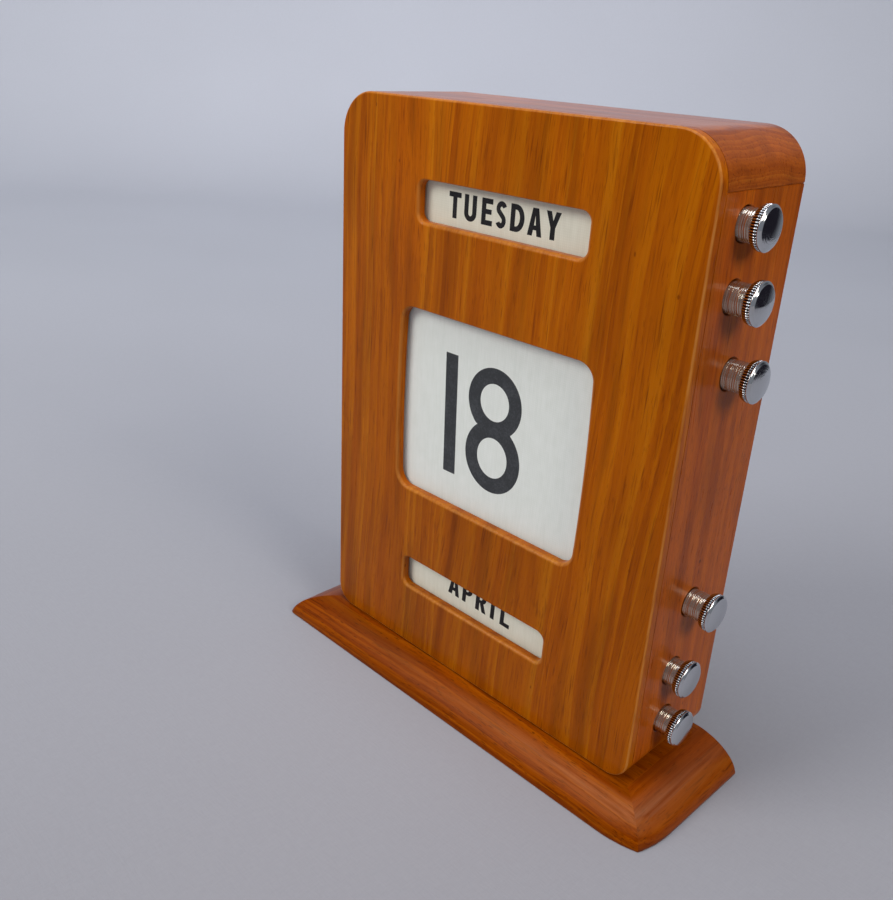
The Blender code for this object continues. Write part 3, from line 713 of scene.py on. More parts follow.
@dataclass(frozen=True)
class FibrousStuff(Finish):
    """Matt stuff with fibres one way: turned beech, or pressed wool felt where they are short."""

    tone: str
    shade: str
    stretch: Point3
    roughness: float = 0.6
    height: float = 0.00005
    roughness_swing: float = 0.08

    def fill(self, recipe: Recipe, shader: Node) -> None:
        """Flecks and fibres of this stretch, in millimetres."""
        fine = recipe.mapped(recipe.place(), tuple(1000.0 * share for share in self.stretch))
        fibre = recipe.noise(fine, detail=4.0, rough=0.6)
        mixed = recipe.blend(0.5, fibre, recipe.noise(fine, scale=0.2))
        low, high = self.roughness - self.roughness_swing, self.roughness + self.roughness_swing
        sources = {
            "Base Color": recipe.ramp(mixed, (0.35, self.shade), (0.65, self.tone)),
            "Roughness": recipe.span(fibre, 0.0, 1.0, low, high),
            "Normal": recipe.bump(fibre, 0.5, self.height),
        }
        recipe.feed(shader, sources)


@dataclass(frozen=True)
class BackdropCotton(Finish):
    """Pale cotton sheeting as a backdrop: matt, cool grey, with a faint weave, and painted shade that darkens
    it towards the front of the floor.
    """

    tone: str
    middle: str
    shade: str

    def fill(self, recipe: Recipe, shader: Node) -> None:
        """Crossed threads about 0.8 mm apart, slow clouds of tone, and painted shade along the sheet's "run".
        """
        place = recipe.place()
        weft = recipe.noise(recipe.mapped(place, (220.0, 1200.0, 1200.0)))
        warp = recipe.noise(recipe.mapped(place, (1200.0, 220.0, 220.0)))
        cloud = recipe.noise(place, scale=3.0)
        weave = recipe.calc("ADD", weft, warp)
        mixed = recipe.blend(0.4, recipe.calc("MULTIPLY", weave, 0.5), cloud)
        # Painted shade: the shade colour at the front of the floor, lighter towards the wall
        stops = ((0.0, self.shade), (0.55, self.middle), (1.0, self.tone))
        painted_falloff = recipe.ramp(recipe.mark("run"), *stops)
        sources = {
            "Base Color": recipe.scaled(painted_falloff, recipe.span(mixed, 0.3, 0.7, 0.955, 1.045)),
            "Roughness": recipe.span(cloud, 0.0, 1.0, 0.85, 0.95),
            "Normal": recipe.bump(weave, 0.3, 0.0002),
        }
        recipe.feed(shader, sources)


FRONT_TEAK = VarnishedTeak(
    "quarter_sawn_teak_varnished", ("#a04b00", "#b35a00", "#bd6500", "#ca7608"),
    vein="#6c2a00", worn_and_lit="#cf8f4a", way=GrainWay.UPRIGHT, heart=(-330.0, 140.0, 40.0),
    pores=0.6, figure=0.75, foot_shade=0.8, coat=0.2,
)
SIDE_TEAK = VarnishedTeak(
    "solid_teak_sides_varnished", ("#964204", "#a95008", "#b65a0b", "#c2680f"),
    vein="#582306", worn_and_lit="#c4865c", way=GrainWay.UPRIGHT, heart=(160.0, -170.0, 0.0),
    ring_width=5.0, growth=0.7, pores=0.8, coat=0.18, foot_shade=0.95,
    knots=((0.08375, 0.0092, 0.0975, 0.0011),),
)
TOP_TEAK = VarnishedTeak(
    "solid_teak_top_varnished", ("#8a3e10", "#9d4c14", "#aa5618", "#b8661f"),
    vein="#58230c", worn_and_lit="#c4865c", way=GrainWay.SIDEWAYS, heart=(300.0, 8.0, 0.0),
    ring_width=2.4, pores=0.4, coat=0.4,
)
BASE_TEAK = VarnishedTeak(
    "solid_teak_base_varnished", ("#702c00", "#843800", "#944600", "#a15204"),
    vein="#3d1502", worn_and_lit="#b87a50", way=GrainWay.SIDEWAYS, heart=(90.0, -60.0, 0.0),
    ring_width=5.0, pores=1.4, figure=0.6, coat=0.04, coat_roughness=0.3,
)
BASE_END_TEAK = VarnishedTeak(
    "solid_teak_base_ends_varnished", ("#6b2901", "#7d3502", "#8c4104", "#99500a"),
    vein="#3d1502", worn_and_lit="#a56f4e", way=GrainWay.ENDWAYS, heart=(60.0, 130.0, 0.0),
    ring_width=4.0, pores=0.7, figure=0.6, coat=0.14,
)
BACK_TEAK = VarnishedTeak(
    "teak_faced_ply_back", ("#7a431c", "#8d5426", "#99602e", "#a66d38"),
    vein="#4d2a14", worn_and_lit="#a77b52", way=GrainWay.UPRIGHT, heart=(-40.0, 190.0, -150.0),
    ring_width=9.0, coat=0.35, coat_roughness=0.35,
)
CHROME = TurnedMetal("chromed_turned_brass", "#d5d8dc", brassing=0.5, tool_haze=0.06)
BRIGHT_STEEL = TurnedMetal("drawn_silver_steel", "#a9aaac", roughness=0.28)
BRASS = TurnedMetal("turned_screw_brass", "#b08a45", roughness=0.25, tarnish=0.3)
BEECH = FibrousStuff("turned_beech", "#caa678", "#b48c5c", (0.12, 1.6, 1.6))
FELT = FibrousStuff("pressed_wool_felt", "#2b4a38", "#162b1f", (3.0, 3.0, 3.0), 0.92, 0.0002)
DATE_LINEN = CalendarLinen("date_band_linen", "#f6f9f4", "#e9ede6")
WORD_LINEN = CalendarLinen("word_band_linen", "#f7f5e4", "#e9e6d3")
INK = PressInk("letterpress_ink", "#1a191c", "#343438")
DIGIT_INK = PressInk("letterpress_ink_on_numbers", "#3a3c3f", "#55585c")
COTTON = BackdropCotton("cotton_backdrop", "#d1d4dd", "#babdc6", "#8e8e95")


# Case

ROLLERS = ("day_upper", "day_lower", "date_upper", "date_lower", "month_upper", "month_lower")
BACK_SCREWS = tuple(f"back_screw_{number}" for number in range(1, 7))


@dataclass(frozen=True)
class Window:
    """One window: its hole behind the rounded edge, in mm."""

    low: Point2
    high: Point2
    corner: float
    bow: float = 0.0


@dataclass
class FrontPanel:
    """The front board with its rim and three windows rounded over, in mm."""

    windows: tuple[Window, ...] = (
        Window((-39.25, 198.95), (39.75, 214.15), 3.5),
        Window((-45.5, 88.27), (47.5, 165.47), 6.0, 1.0),
        Window((-39.8, 41.33), (39.2, 55.33), 3.5),
    )
    top_corner: float = 16.0
    foot_corner: float = 9.2
    rim_rounding: float = 0.8
    # Paler tone along the rim's rounding: partly wear, partly painted highlight
    rim_wear_and_highlight: float = 0.6
    window_rounding: float = 1.5
    # The same paler tone along the windows' roundings
    window_wear_and_highlight: float = 0.5
    crisp_top: float = 0.35
    flat_margin: float = 0.25
    land: float = 0.2
    corner_steps: int = 16
    side_steps: int = 24
    rounding_steps: int = 6

    def outline(self, low: Point2, high: Point2, radii: Point2, grow: Point2, bow: float) -> list[Point2]:
        """One outline with round corners, grown or shrunk.

        Args:
            low: Its lower left corner.
            high: Its upper right corner.
            radii: The lower and the upper corners' radius.
            grow: How far the foot and the sides move outwards, and how far the top does.
            bow: How far the two sides bulge.

        Returns:
            Points (x, z), anticlockwise from the lower right corner.
        """
        foot = (radii[0] + grow[0], radii[0] + grow[0])
        head = (radii[1] + grow[0], radii[1] + grow[1])
        corners = (
            ((high[0] - radii[0], low[1] + radii[0]), foot, -90.0),
            ((high[0] - radii[1], high[1] - radii[1]), head, 0.0),
            ((low[0] + radii[1], high[1] - radii[1]), head, 90.0),
            ((low[0] + radii[0], low[1] + radii[0]), foot, 180.0),
        )
        points: list[Point2] = []
        for index, (centre, radius, start) in enumerate(corners):
            points += arc(centre, radius, start, start + 90, self.corner_steps)
            (x, z), (after, next_radius, next_start) = points[-1], corners[(index + 1) % 4]
            goal = arc(after, next_radius, next_start, next_start, 1)[0]
            for step in range(1, self.side_steps):
                share = step / self.side_steps
                points.append((x + (goal[0] - x) * share, z + (goal[1] - z) * share))
        middle, reach = (low[1] + high[1]) / 2, (high[1] - low[1]) / 2
        centre_x, half = (low[0] + high[0]) / 2, (high[0] - low[0]) / 2
        return [(x + bow * (x - centre_x) / half * (1 - ((z - middle) / reach) ** 2), z) for x, z in points]

    def levels(self, rounding: float, wear_and_highlight: float, thickness: float) -> list[Point3]:
        """The loops of one rounded edge, from the face to the back.

        Args:
            rounding: The edge's radius.
            wear_and_highlight: How strongly its middle takes the paler tone, partly wear and partly painted
                highlight.
            thickness: The panel's thickness.

        Returns:
            How far off the opening's or board's own line each loop lies, how deep, and how much of the paler
            tone of wear and painted highlight it takes.
        """
        loops = [(rounding + self.flat_margin, 0.0, 0.0)]
        for step in range(self.rounding_steps + 1):
            angle = math.pi / 2 * step / self.rounding_steps
            off, depth = rounding * (1 - math.sin(angle)), rounding * (1 - math.cos(angle))
            loops.append((off, depth, wear_and_highlight * math.sin(2 * angle)))
        loops += [(0.0, rounding + self.land, 0.0), (0.0, thickness, 0.0), (self.flat_margin, thickness, 0.0)]
        return loops

    def build(self) -> None:
        """Makes the panel, with the paler tone of its roundings, partly wear and partly painted highlight, as
        the attribute "edge".
        """
        low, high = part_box("front_panel")
        mesh = bmesh.new()
        # The attribute "edge" carries the paler tone of the roundings: partly wear, partly painted highlight
        edge = mesh.verts.layers.float.new("edge")
        rim = ((low.x / MM, low.z / MM), (high.x / MM, high.z / MM), (self.foot_corner, self.top_corner), 0.0)
        edges = [(rim, -1.0, 1.0, self.rim_rounding, self.rim_wear_and_highlight)]
        for hole in self.windows:
            opening = (hole.low, hole.high, (hole.corner, hole.corner), hole.bow)
            edges.append((opening, 1.0, self.crisp_top, self.window_rounding, self.window_wear_and_highlight))
        faces: list[tuple[Ring, Ring]] = []
        for (start, end, radii, bow), outwards, crisp, rounding, wear_and_highlight in edges:
            rings = []
            for off, depth, worn_and_lit in self.levels(rounding, wear_and_highlight, (high.y - low.y) / MM):
                grow = outwards * off
                line = self.outline(start, end, radii, (grow, grow * crisp), bow)
                rings.append(add_ring(mesh, [(x * MM, low.y + depth * MM, z * MM) for x, z in line]))
                for vert in rings[-1]:
                    vert[edge] = worn_and_lit
            bridge(mesh, rings)
            faces.append((rings[0], rings[-1]))
        for side in zip(*faces):
            fill_between(mesh, side)
        bmesh.ops.recalc_face_normals(mesh, faces=mesh.faces)
        dress(make_piece("front_board", mesh, 60), FRONT_TEAK, "case", ["front_panel"])


@dataclass
class Boards:
    """Top and side boards, back panel: outlines drawn back along Y with eased edges, in mm."""

    seam: float = 0.07
    easing: float = 0.2
    margin: float = 0.5
    top_corner: float = 16.0
    foot_corner: float = 9.2
    corner_steps: int = 24
    rebate_play: float = 0.1
    rebate_spare: float = 2.0
    knob_hole: float = 11.3
    hole_depth: float = 12.0
    hole_mouth: tuple[Point2, Point2] = ((-0.3, 0.0), (0.1, 0.4))
    hole_steps: int = 96
    sink: tuple[Point2, ...] = ((-6.0, 0), (-6.0, 1.7), (-2.2, 1.7), (-0.4, 3.2), (0.2, 3.2), (0.2, 0))
    sink_steps: int = 48

    def board(self, name: str, outline: Sequence[Point2], front: float, back: float) -> Piece:
        """Draws an outline back between two depths, its long edges and ends eased.

        Args:
            name: The piece's name.
            outline: Points (x, z) in mm.
            front: Y of its front in metres.
            back: Y of its back in metres.

        Returns:
            The board.
        """
        mesh = prism(outline, front, back)
        sharp = [e for e in mesh.edges if e.calc_face_angle(0.0) > math.radians(30)]
        width = self.easing * MM
        bmesh.ops.bevel(mesh, geom=sharp, offset=width, segments=2, affect="EDGES", clamp_overlap=True)
        bmesh.ops.recalc_face_normals(mesh, faces=mesh.faces)
        return make_piece(name, mesh, 25)

    def build_top(self) -> None:
        """Makes the top board, whose upper corners are rounded."""
        low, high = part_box("case_top")
        radius, half = self.top_corner, high.x / MM
        top, under = high.z / MM, low.z / MM + self.seam
        rise = top - radius
        points = [(half, under), (half, rise - 0.1)]
        points += arc((half - radius, rise), (radius, radius), 0, 90, self.corner_steps)
        points += [(half - radius - self.margin, top), (radius + self.margin - half, top)]
        points += arc((radius - half, rise), (radius, radius), 90, 180, self.corner_steps)
        points += [(-half, rise - 0.1), (-half, under)]
        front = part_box("front_panel")[1].y + self.seam * MM
        board = self.board("top_board", points, front, high.y)
        dress(board, TOP_TEAK, "case", ["case_top"])

    def build_side(self, side: int, node: str, name: str) -> None:
        """Makes one side board, the right one with a hole for each knob.

        Args:
            side: 1 for the right, -1 for the left.
            node: The CAD node that it stands for.
            name: The piece's name.
        """
        low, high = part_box(node)
        outer = max(abs(low.x), abs(high.x)) / MM
        inner = min(abs(low.x), abs(high.x)) / MM
        foot, bottom = self.foot_corner, low.z / MM
        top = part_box("case_top")[0].z / MM
        points = [(inner, bottom)]
        points += arc((outer - foot, bottom + foot), (foot, foot), -90, 0, self.corner_steps)
        points += [(outer, bottom + foot + self.margin), (outer, top), (inner, top)]
        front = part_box("front_panel")[1].y + self.seam * MM
        board = self.board(name, [(side * x, z) for x, z in points], front, high.y)
        cutters = [self.rebate_cutter(side, inner, bottom, top)]
        if side > 0:
            cutters += [self.hole_cutter(roller, outer) for roller in ROLLERS]
        cut_out(board, cutters)
        dress(board, SIDE_TEAK, "case", [node])

    def rebate_cutter(self, side: int, inner: float, bottom: float, top: float) -> Piece:
        """The shape of the rebate that the back panel lies in.

        Args:
            side: 1 for the right, -1 for the left.
            inner: The board's inner face, from the middle.
            bottom: Its lower end.
            top: Its upper end.

        Returns:
            The cutter.
        """
        low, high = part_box("back_panel")
        play, spare = self.rebate_play, self.rebate_spare
        ends = (bottom - spare, top + spare)
        reach = abs(high.x) / MM + play
        corners = ((inner - spare, ends[0]), (reach, ends[0]), (reach, ends[1]), (inner - spare, ends[1]))
        shape = prism([(side * x, z) for x, z in corners], low.y - play * MM, high.y + spare * MM)
        return make_piece("rebate_cutter", shape)

    def hole_cutter(self, roller: str, outer: float) -> Piece:
        """The shape of one knob's hole, with its mouth slightly broken.

        Args:
            roller: Which knob it is for.
            outer: The board's outer face, from the middle.

        Returns:
            The cutter.
        """
        depth, height, _ = axis_of(roller + "_roller")
        end, radius = outer - self.hole_depth, self.knob_hole / 2
        profile = [(end, 0.0), (end, radius)]
        profile += [(outer + along, radius + flare) for along, flare in self.hole_mouth]
        profile.append((outer + self.hole_mouth[-1][0], 0.0))
        points = [(along * MM, reach * MM) for along, reach in profile]
        return make_piece("hole_cutter", turned(points, self.hole_steps, depth, height))

    def build_back(self) -> None:
        """Makes the back panel with its countersunk holes."""
        low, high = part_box("back_panel")
        side_low, side_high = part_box("case_right_side")
        right, top = high.x / MM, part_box("case_top")[0].z / MM
        foot = self.foot_corner - self.seam
        centre = (side_high.x / MM - self.foot_corner, side_low.z / MM + self.foot_corner)
        turn = math.degrees(math.acos((right - centre[0]) / foot))
        bend = arc(centre, (foot, foot), -90, -turn, self.corner_steps // 2)
        outline = [*bend, (right, top), (-right, top), *((-x, z) for x, z in reversed(bend))]
        board = self.board("back_board", outline, low.y, high.y)
        cut_out(board, [self.screw_cutter(node, high.y / MM) for node in BACK_SCREWS])
        dress(board, BACK_TEAK, "case", ["back_panel"])

    def screw_cutter(self, node: str, back: float) -> Piece:
        """The shape of one countersunk hole, turned about X and then laid along Y.

        Args:
            node: The screw.
            back: The panel's back.

        Returns:
            The cutter.
        """
        low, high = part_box(node)
        x, z = (low.x + high.x) / 2 / MM, (low.z + high.z) / 2 / MM
        shape = turned(self.sink, self.sink_steps, 0, 0)
        for vert in shape.verts:
            along, across, up = vert.co
            vert.co = ((x - across) * MM, (back + along) * MM, (z + up) * MM)
        bmesh.ops.recalc_face_normals(shape, faces=shape.faces)
        return make_piece("screw_cutter", shape)

    def build(self) -> None:
        """Makes the top board, both side boards and the back panel."""
        self.build_top()
        self.build_side(1, "case_right_side", "right_board")
        self.build_side(-1, "case_left_side", "left_board")
        self.build_back()


# Base


@dataclass
class Base:
    """The base: a quarter-round moulding along its front and ends, mitred at the corners, in mm."""

    end_run: float = 18.2
    front_run: float = 15.4
    top_angle: float = 8.0
    foot_angle: float = 80.0
    lip: float = 1.0
    corner_arcs: Point2 = (5.0, 48.0)
    corner_turn: float = 20.0
    crease: float = 0.2
    moulding_steps: int = 26
    easing_steps: int = 8
    foot_inset: float = 0.3
    foot_height: float = 0.15
    top_inset: float = 0.4
    # Painted highlight on the front moulding: its strength, the share of the run where it is strongest, its
    # half-width in that share, and how many mm from the right front corner it fades out
    wear_and_highlight: float = 0.6
    highlight_middle: float = 0.42
    highlight_width: float = 0.34
    highlight_length: float = 90.0
    foot_wear: float = 0.1

    def ring(
        self, share: float, height: float, box: tuple[Vector, Vector], inset: float = 0.0
    ) -> list[Vector]:
        """One level loop of the moulding.

        Args:
            share: How far in along the moulding's run, from 0 at the foot to 1 at the top.
            height: Z in metres.
            box: The base's lowest and highest corners.
            inset: Further in by this many mm.

        Returns:
            The loop's points.
        """
        low, high = box
        half = high.x / MM - share * self.end_run - inset
        front = low.y / MM + share * self.front_run + inset
        back = high.y / MM - inset
        turn, steps = self.corner_turn, self.easing_steps
        points = [(half, back), (-half, back)]
        for side, size in zip((-1, 1), self.corner_arcs):
            reach = size * (1 - share) + self.crease
            start = reach * (1 - math.cos(math.radians(turn)) + math.sin(math.radians(turn)))
            bends = [(reach, start, 180.0), (start, reach, 270.0 - turn)]
            if side > 0:
                bends = [(across, along, 540.0 - angle - turn) for across, along, angle in reversed(bends)]
            for across, along, angle in bends:
                centre = (side * (half - across), front + along)
                points += arc(centre, (reach, reach), angle, angle + turn, steps)
        return [Vector((x * MM, y * MM, height)) for x, y in points]

    def build(self) -> None:
        """Makes the base, with a painted highlight on the right half of its front moulding and a faint paler
        tone at its foot, as the attribute "edge".
        """
        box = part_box("base_plinth")
        low, high = box
        top, lip = high.z, self.lip * MM
        mesh = bmesh.new()
        edge = mesh.verts.layers.float.new("edge")
        first, last = math.radians(self.foot_angle), math.radians(self.top_angle)
        levels = [(0.0, 0.0, self.foot_inset), (0.0, self.foot_height * MM, 0.0)]
        for step in range(self.moulding_steps + 1):
            angle = first + (last - first) * step / self.moulding_steps
            out = (math.sin(angle) - math.sin(last)) / (math.sin(first) - math.sin(last))
            drop = (math.cos(last) - math.cos(angle)) / (math.cos(last) - math.cos(first))
            levels.append((1 - out, top - (top - lip) * drop, 0.0))
        rings = [add_ring(mesh, self.ring(0.0, 0.0, box, self.foot_inset))]
        for index, (share, height, inset) in enumerate(levels):
            rings.append(add_ring(mesh, self.ring(share, height, box, inset)))
            # Painted highlight: a band across the moulding's run that fades away from the right front corner
            worn_and_lit = self.wear_and_highlight * max(0.0, 1 - abs(share - self.highlight_middle) / self.highlight_width)
            for vert in rings[-1]:
                near = math.hypot(vert.co.x - high.x, vert.co.y - low.y) / MM
                vert[edge] = worn_and_lit * max(0.0, 1 - near / self.highlight_length) if index > 1 else self.foot_wear
        rings.append(add_ring(mesh, self.ring(1.0, top, box, self.top_inset)))
        bridge(mesh, rings)
        fill_between(mesh, [rings[0]])
        fill_between(mesh, [rings[-1]])
        bmesh.ops.remove_doubles(mesh, verts=mesh.verts, dist=1e-7)
        bmesh.ops.recalc_face_normals(mesh, faces=mesh.faces)
        base = make_piece("moulded_base", mesh, 12)
        dress(base, BASE_TEAK, "case", ["base_plinth"])
        # The end mouldings are boards of their own, with the grain along Y
        base.data.materials.append(BASE_END_TEAK.material())
        for face in base.data.polygons:
            from_end = (high.x - abs(face.center.x)) / self.end_run
            from_front = (face.center.y - low.y) / self.front_run
            if from_end < min(from_front, MM):
                face.material_index = 1


# Bands and their legends


@dataclass
class Band:
    """One printed band between its two coils, over both guide rods, in mm."""

    name: str
    finish: CalendarLinen
    width: float = 110.0
    thickness: float = 0.18
    clearance: float = 0.1
    coil_clearance: float = 0.3
    long_run: float = 2.0
    bend_steps: int = 12
    run_steps: int = 16
    cross_steps: int = 44

    def half(self, side: int, place: str) -> list[tuple[Vector, float, float]]:
        """Centre, reach and angle of each point from the guide rod's front to the coil.

        Args:
            side: 1 above the window, -1 below.
            place: "upper" or "lower".

        Returns:
            The points' polar places about the rod, and the last about the coil.
        """
        coil_y, coil_z, coil_radius = axis_of(f"{self.name}_{place}_coil")
        rod_y, rod_z, rod_radius = axis_of(f"{self.name}_{place}_guide")
        coil, rod = Vector((coil_y, coil_z)), Vector((rod_y, rod_z))
        coil_reach = coil_radius + self.coil_clearance * MM
        rod_reach = rod_radius + self.clearance * MM
        run = rod - coil
        opening = math.acos((coil_reach - rod_reach) / run.length)
        last = math.atan2(run.y, run.x) % math.tau - side * opening
        steps = self.bend_steps
        turns = [math.pi + (last - math.pi) * step / steps for step in range(steps + 1)]
        return [(rod, rod_reach, turn) for turn in turns] + [(coil, coil_reach, last)]

    def path(self) -> list[tuple[Vector, Vector]]:
        """Inner and outer points of the band's section, from the lower coil to the upper one."""
        places = self.half(-1, "lower")[::-1] + self.half(1, "upper")
        points = []
        for centre, reach, turn in places:
            out = Vector((math.cos(turn), math.sin(turn)))
            points.append((centre + out * reach, centre + out * (reach + self.thickness * MM)))
        fine = [points[0]]
        for before, after in zip(points, points[1:]):
            steps = self.run_steps if (after[0] - before[0]).length > self.long_run * MM else 1
            for step in range(1, steps + 1):
                fine.append(tuple(a.lerp(b, step / steps) for a, b in zip(before, after)))
        return fine

    def build(self, legend: Piece) -> None:
        """Args:
            legend: The printing on it; not used.
        """
        mesh = bmesh.new()
        path = self.path()
        half = self.width * MM / 2
        columns = [half * (2 * step / self.cross_steps - 1) for step in range(self.cross_steps + 1)]
        rings = []
        for inner, outer in path:
            loop = [(x, inner.x, inner.y) for x in columns]
            loop += [(x, outer.x, outer.y) for x in reversed(columns)]
            rings.append(add_ring(mesh, loop))
        bridge(mesh, rings)
        for end in (rings[0], rings[-1]):
            for index in range(self.cross_steps):
                mesh.faces.new((end[index], end[index + 1], end[-index - 2], end[-index - 1]))
        bmesh.ops.recalc_face_normals(mesh, faces=mesh.faces)
        band = make_piece(f"{self.name}_linen", mesh, 40)
        dress(band, self.finish, "case", [f"{self.name}_band"])


@dataclass
class Coil:
    """The wound end of a band: one long strip in a true spiral about its roller, in mm."""

    roller: str
    width: float = 110.0
    thickness: float = 0.18
    fullness: float = 0.75
    core_gap: float = 0.1
    steps: int = 40
    least_steps: int = 24

    def build(self) -> None:
        depth, height, outer = axis_of(f"{self.roller}_coil")
        core = axis_of(f"{self.roller}_roller")[2]
        inner = core + self.core_gap * MM
        wound = math.pi * (outer**2 - core**2) / (self.thickness * MM)
        turns = wound / (math.pi * (outer + inner))
        gauge = self.fullness * (outer - inner) / (turns + 1)
        count = max(self.least_steps, int(turns * self.steps))
        mesh = bmesh.new()
        rings, middle, half = [], [], self.width * MM / 2
        for index in range(count + 1):
            share = index / count
            reach = inner + (outer - gauge - inner) * share
            angle = math.tau * turns * share
            corners = []
            for x, grow in ((-half, 0.0), (half, 0.0), (half, gauge), (-half, gauge)):
                radius = reach + grow
                corners.append((x, depth + radius * math.cos(angle), height + radius * math.sin(angle)))
            rings.append(add_ring(mesh, corners))
            middle.append(Vector(corners[0]))
        bridge(mesh, rings)
        mesh.faces.new(rings[0])
        mesh.faces.new(rings[-1])
        bmesh.ops.recalc_face_normals(mesh, faces=mesh.faces)
        piece = make_piece(f"{self.roller}_winding", mesh, 40)
        finish = DATE_LINEN if self.roller.startswith("date") else WORD_LINEN
        dress(piece, finish, self.roller, [f"{self.roller}_coil"])


@dataclass(frozen=True)
class Letter:
    """One letter or numeral: its outline and its holes, as points (x, z) in mm."""

    outline: tuple[Point2, ...]
    holes: tuple[tuple[Point2, ...], ...] = ()


def ribbon(path: Sequence[Point2], width: float) -> tuple[Point2, ...]:
    """The outline of a stroke of even width along a path.

    Args:
        path: The stroke's middle line.
        width: Its width.

    Returns:
        The outline's points.
    """
    left, right = [], []
    for index, (x, z) in enumerate(path):
        before, after = path[max(index - 1, 0)], path[min(index + 1, len(path) - 1)]
        run = Vector((after[0] - before[0], after[1] - before[1])).normalized()
        left.append((x - run.y * width / 2, z + run.x * width / 2))
        right.append((x + run.y * width / 2, z - run.x * width / 2))
    return tuple(left + right[::-1])


def letter_shapes() -> dict[str, Letter]:
    """Plain upright sans capitals, 9.4 mm high with strokes of 2.1 mm.

    Returns:
        Each letter's shape from its own lower left corner.
    """
    cap = 9.4
    bowl_p = arc((2.9, 6.55), (2.7, 2.85), -90, 90, 14)
    bowl_r = arc((3.0, 6.65), (2.75, 2.75), -62, 90, 14)
    eye = ((2.1, 5.35), *arc((2.7, 6.55), (0.85, 1.2), -90, 90, 10), (2.1, 7.75))
    s_path = arc((2.5, 6.75), (1.55, 1.72), 22, 205, 18)
    s_path += arc((2.3, 2.72), (1.5, 1.78), 38, -155, 18)
    u_outer = arc((3.05, 3.05), (3.05, 3.05), 180, 360, 20)
    u_inner = arc((3.05, 3.05), (0.95, 1.15), 360, 180, 14)
    return {
        "T": Letter(
            (
                (2.05, 0), (4.15, 0), (4.15, 7.55), (6.2, 7.55),
                (6.2, cap), (0, cap), (0, 7.55), (2.05, 7.55),
            )
        ),
        "U": Letter(((0, cap), *u_outer, (6.1, cap), (4.0, cap), *u_inner, (2.1, cap))),
        "E": Letter(
            (
                (0, 0), (5.3, 0), (5.3, 1.85), (2.1, 1.85), (2.1, 3.95), (4.8, 3.95),
                (4.8, 5.7), (2.1, 5.7), (2.1, 7.55), (5.3, 7.55), (5.3, cap), (0, cap),
            )
        ),
        "S": Letter(ribbon(s_path, 1.85)),
        "D": Letter(
            ((0, 0), *arc((2.6, 4.7), (3.8, 4.7), -90, 90, 22), (0, cap)),
            (((2.1, 1.85), *arc((2.5, 4.7), (1.8, 2.85), -90, 90, 16), (2.1, 7.55)),),
        ),
        "A": Letter(
            ((0, 0), (2.15, 0), (2.52, 2.0), (3.88, 2.0), (4.25, 0), (6.4, 0), (4.5, cap), (1.9, cap)),
            (((2.78, 3.6), (3.62, 3.6), (3.2, 6.9)),),
        ),
        "Y": Letter(
            (
                (2.15, 0), (4.25, 0), (4.25, 4.0), (6.4, cap), (4.2, cap),
                (3.2, 6.3), (2.2, cap), (0, cap), (2.15, 4.0),
            )
        ),
        "P": Letter(((0, 0), (2.1, 0), (2.1, 3.7), *bowl_p, (0, cap)), (eye,)),
        "R": Letter(
            ((0, 0), (2.1, 0), (2.1, 3.9), (2.35, 3.9), (3.75, 0), (6.0, 0), *bowl_r, (0, cap)), (eye,)
        ),
        "I": Letter(((0, 0), (2.1, 0), (2.1, cap), (0, cap))),
        "L": Letter(((0, 0), (5.1, 0), (5.1, 1.85), (2.1, 1.85), (2.1, cap), (0, cap))),
    }


def numeral_shapes() -> dict[str, Letter]:
    """The two tall numerals of the date, placed as they stand on their band.

    Returns:
        Each numeral's shape in the calendar's own frame.
    """
    lower, upper = ((2.6, 115.0), (14.1, 14.5)), ((2.0, 137.2), (13.5, 13.7))
    waist = 126.55
    low_loop = [p for p in arc(*lower, 90, 450, 96) if p[1] < waist]
    high_loop = [p for p in arc(*upper, -90, 270, 96) if p[1] > waist]
    eight = Letter(
        tuple(low_loop + high_loop),
        (
            tuple(arc((2.6, 114.9), (7.7, 8.2), 0, 355, 60)),
            tuple(arc((2.0, 137.4), (7.25, 7.4), 0, 355, 60)),
        ),
    )
    one = Letter(((-23.1, 101.0), (-16.6, 101.0), (-18.2, 150.7), (-24.7, 150.7)))
    return {"1": one, "8": eight}


@dataclass
class Legend:
    """What one window shows, as thin plates of ink on the band's face, in mm."""

    name: str
    finish: PressInk
    glyphs: tuple[Letter, ...]
    places: tuple[Point2, ...]
    tilt: float = 0.0
    gap: float = 0.006
    film: float = 0.02

    def build(self, face: float) -> Piece:
        """Makes the printing.

        Args:
            face: Y of the band's front in metres.

        Returns:
            The printing.
        """
        mesh = bmesh.new()
        pivot = Vector(self.places[0])
        turn = math.radians(self.tilt)
        back, front = face - self.gap * MM, face - (self.gap + self.film) * MM
        for glyph, place in zip(self.glyphs, self.places):
            loops = []
            for points in (glyph.outline, *glyph.holes):
                spots = []
                for x, z in points:
                    off = Vector((x, z)) + Vector(place) - pivot
                    right = off.x * math.cos(turn) - off.y * math.sin(turn)
                    up = off.x * math.sin(turn) + off.y * math.cos(turn)
                    spots.append(((pivot.x + right) * MM, (pivot.y + up) * MM))
                pair = [add_ring(mesh, [(x, y, z) for x, z in spots]) for y in (back, front)]
                bridge(mesh, pair)
                loops.append(pair)
            for side in zip(*loops):
                fill_between(mesh, side)
        bmesh.ops.recalc_face_normals(mesh, faces=mesh.faces)
        piece = make_piece(f"{self.name}_legend", mesh, 20)
        dress(piece, self.finish, "case", [])
        return piece


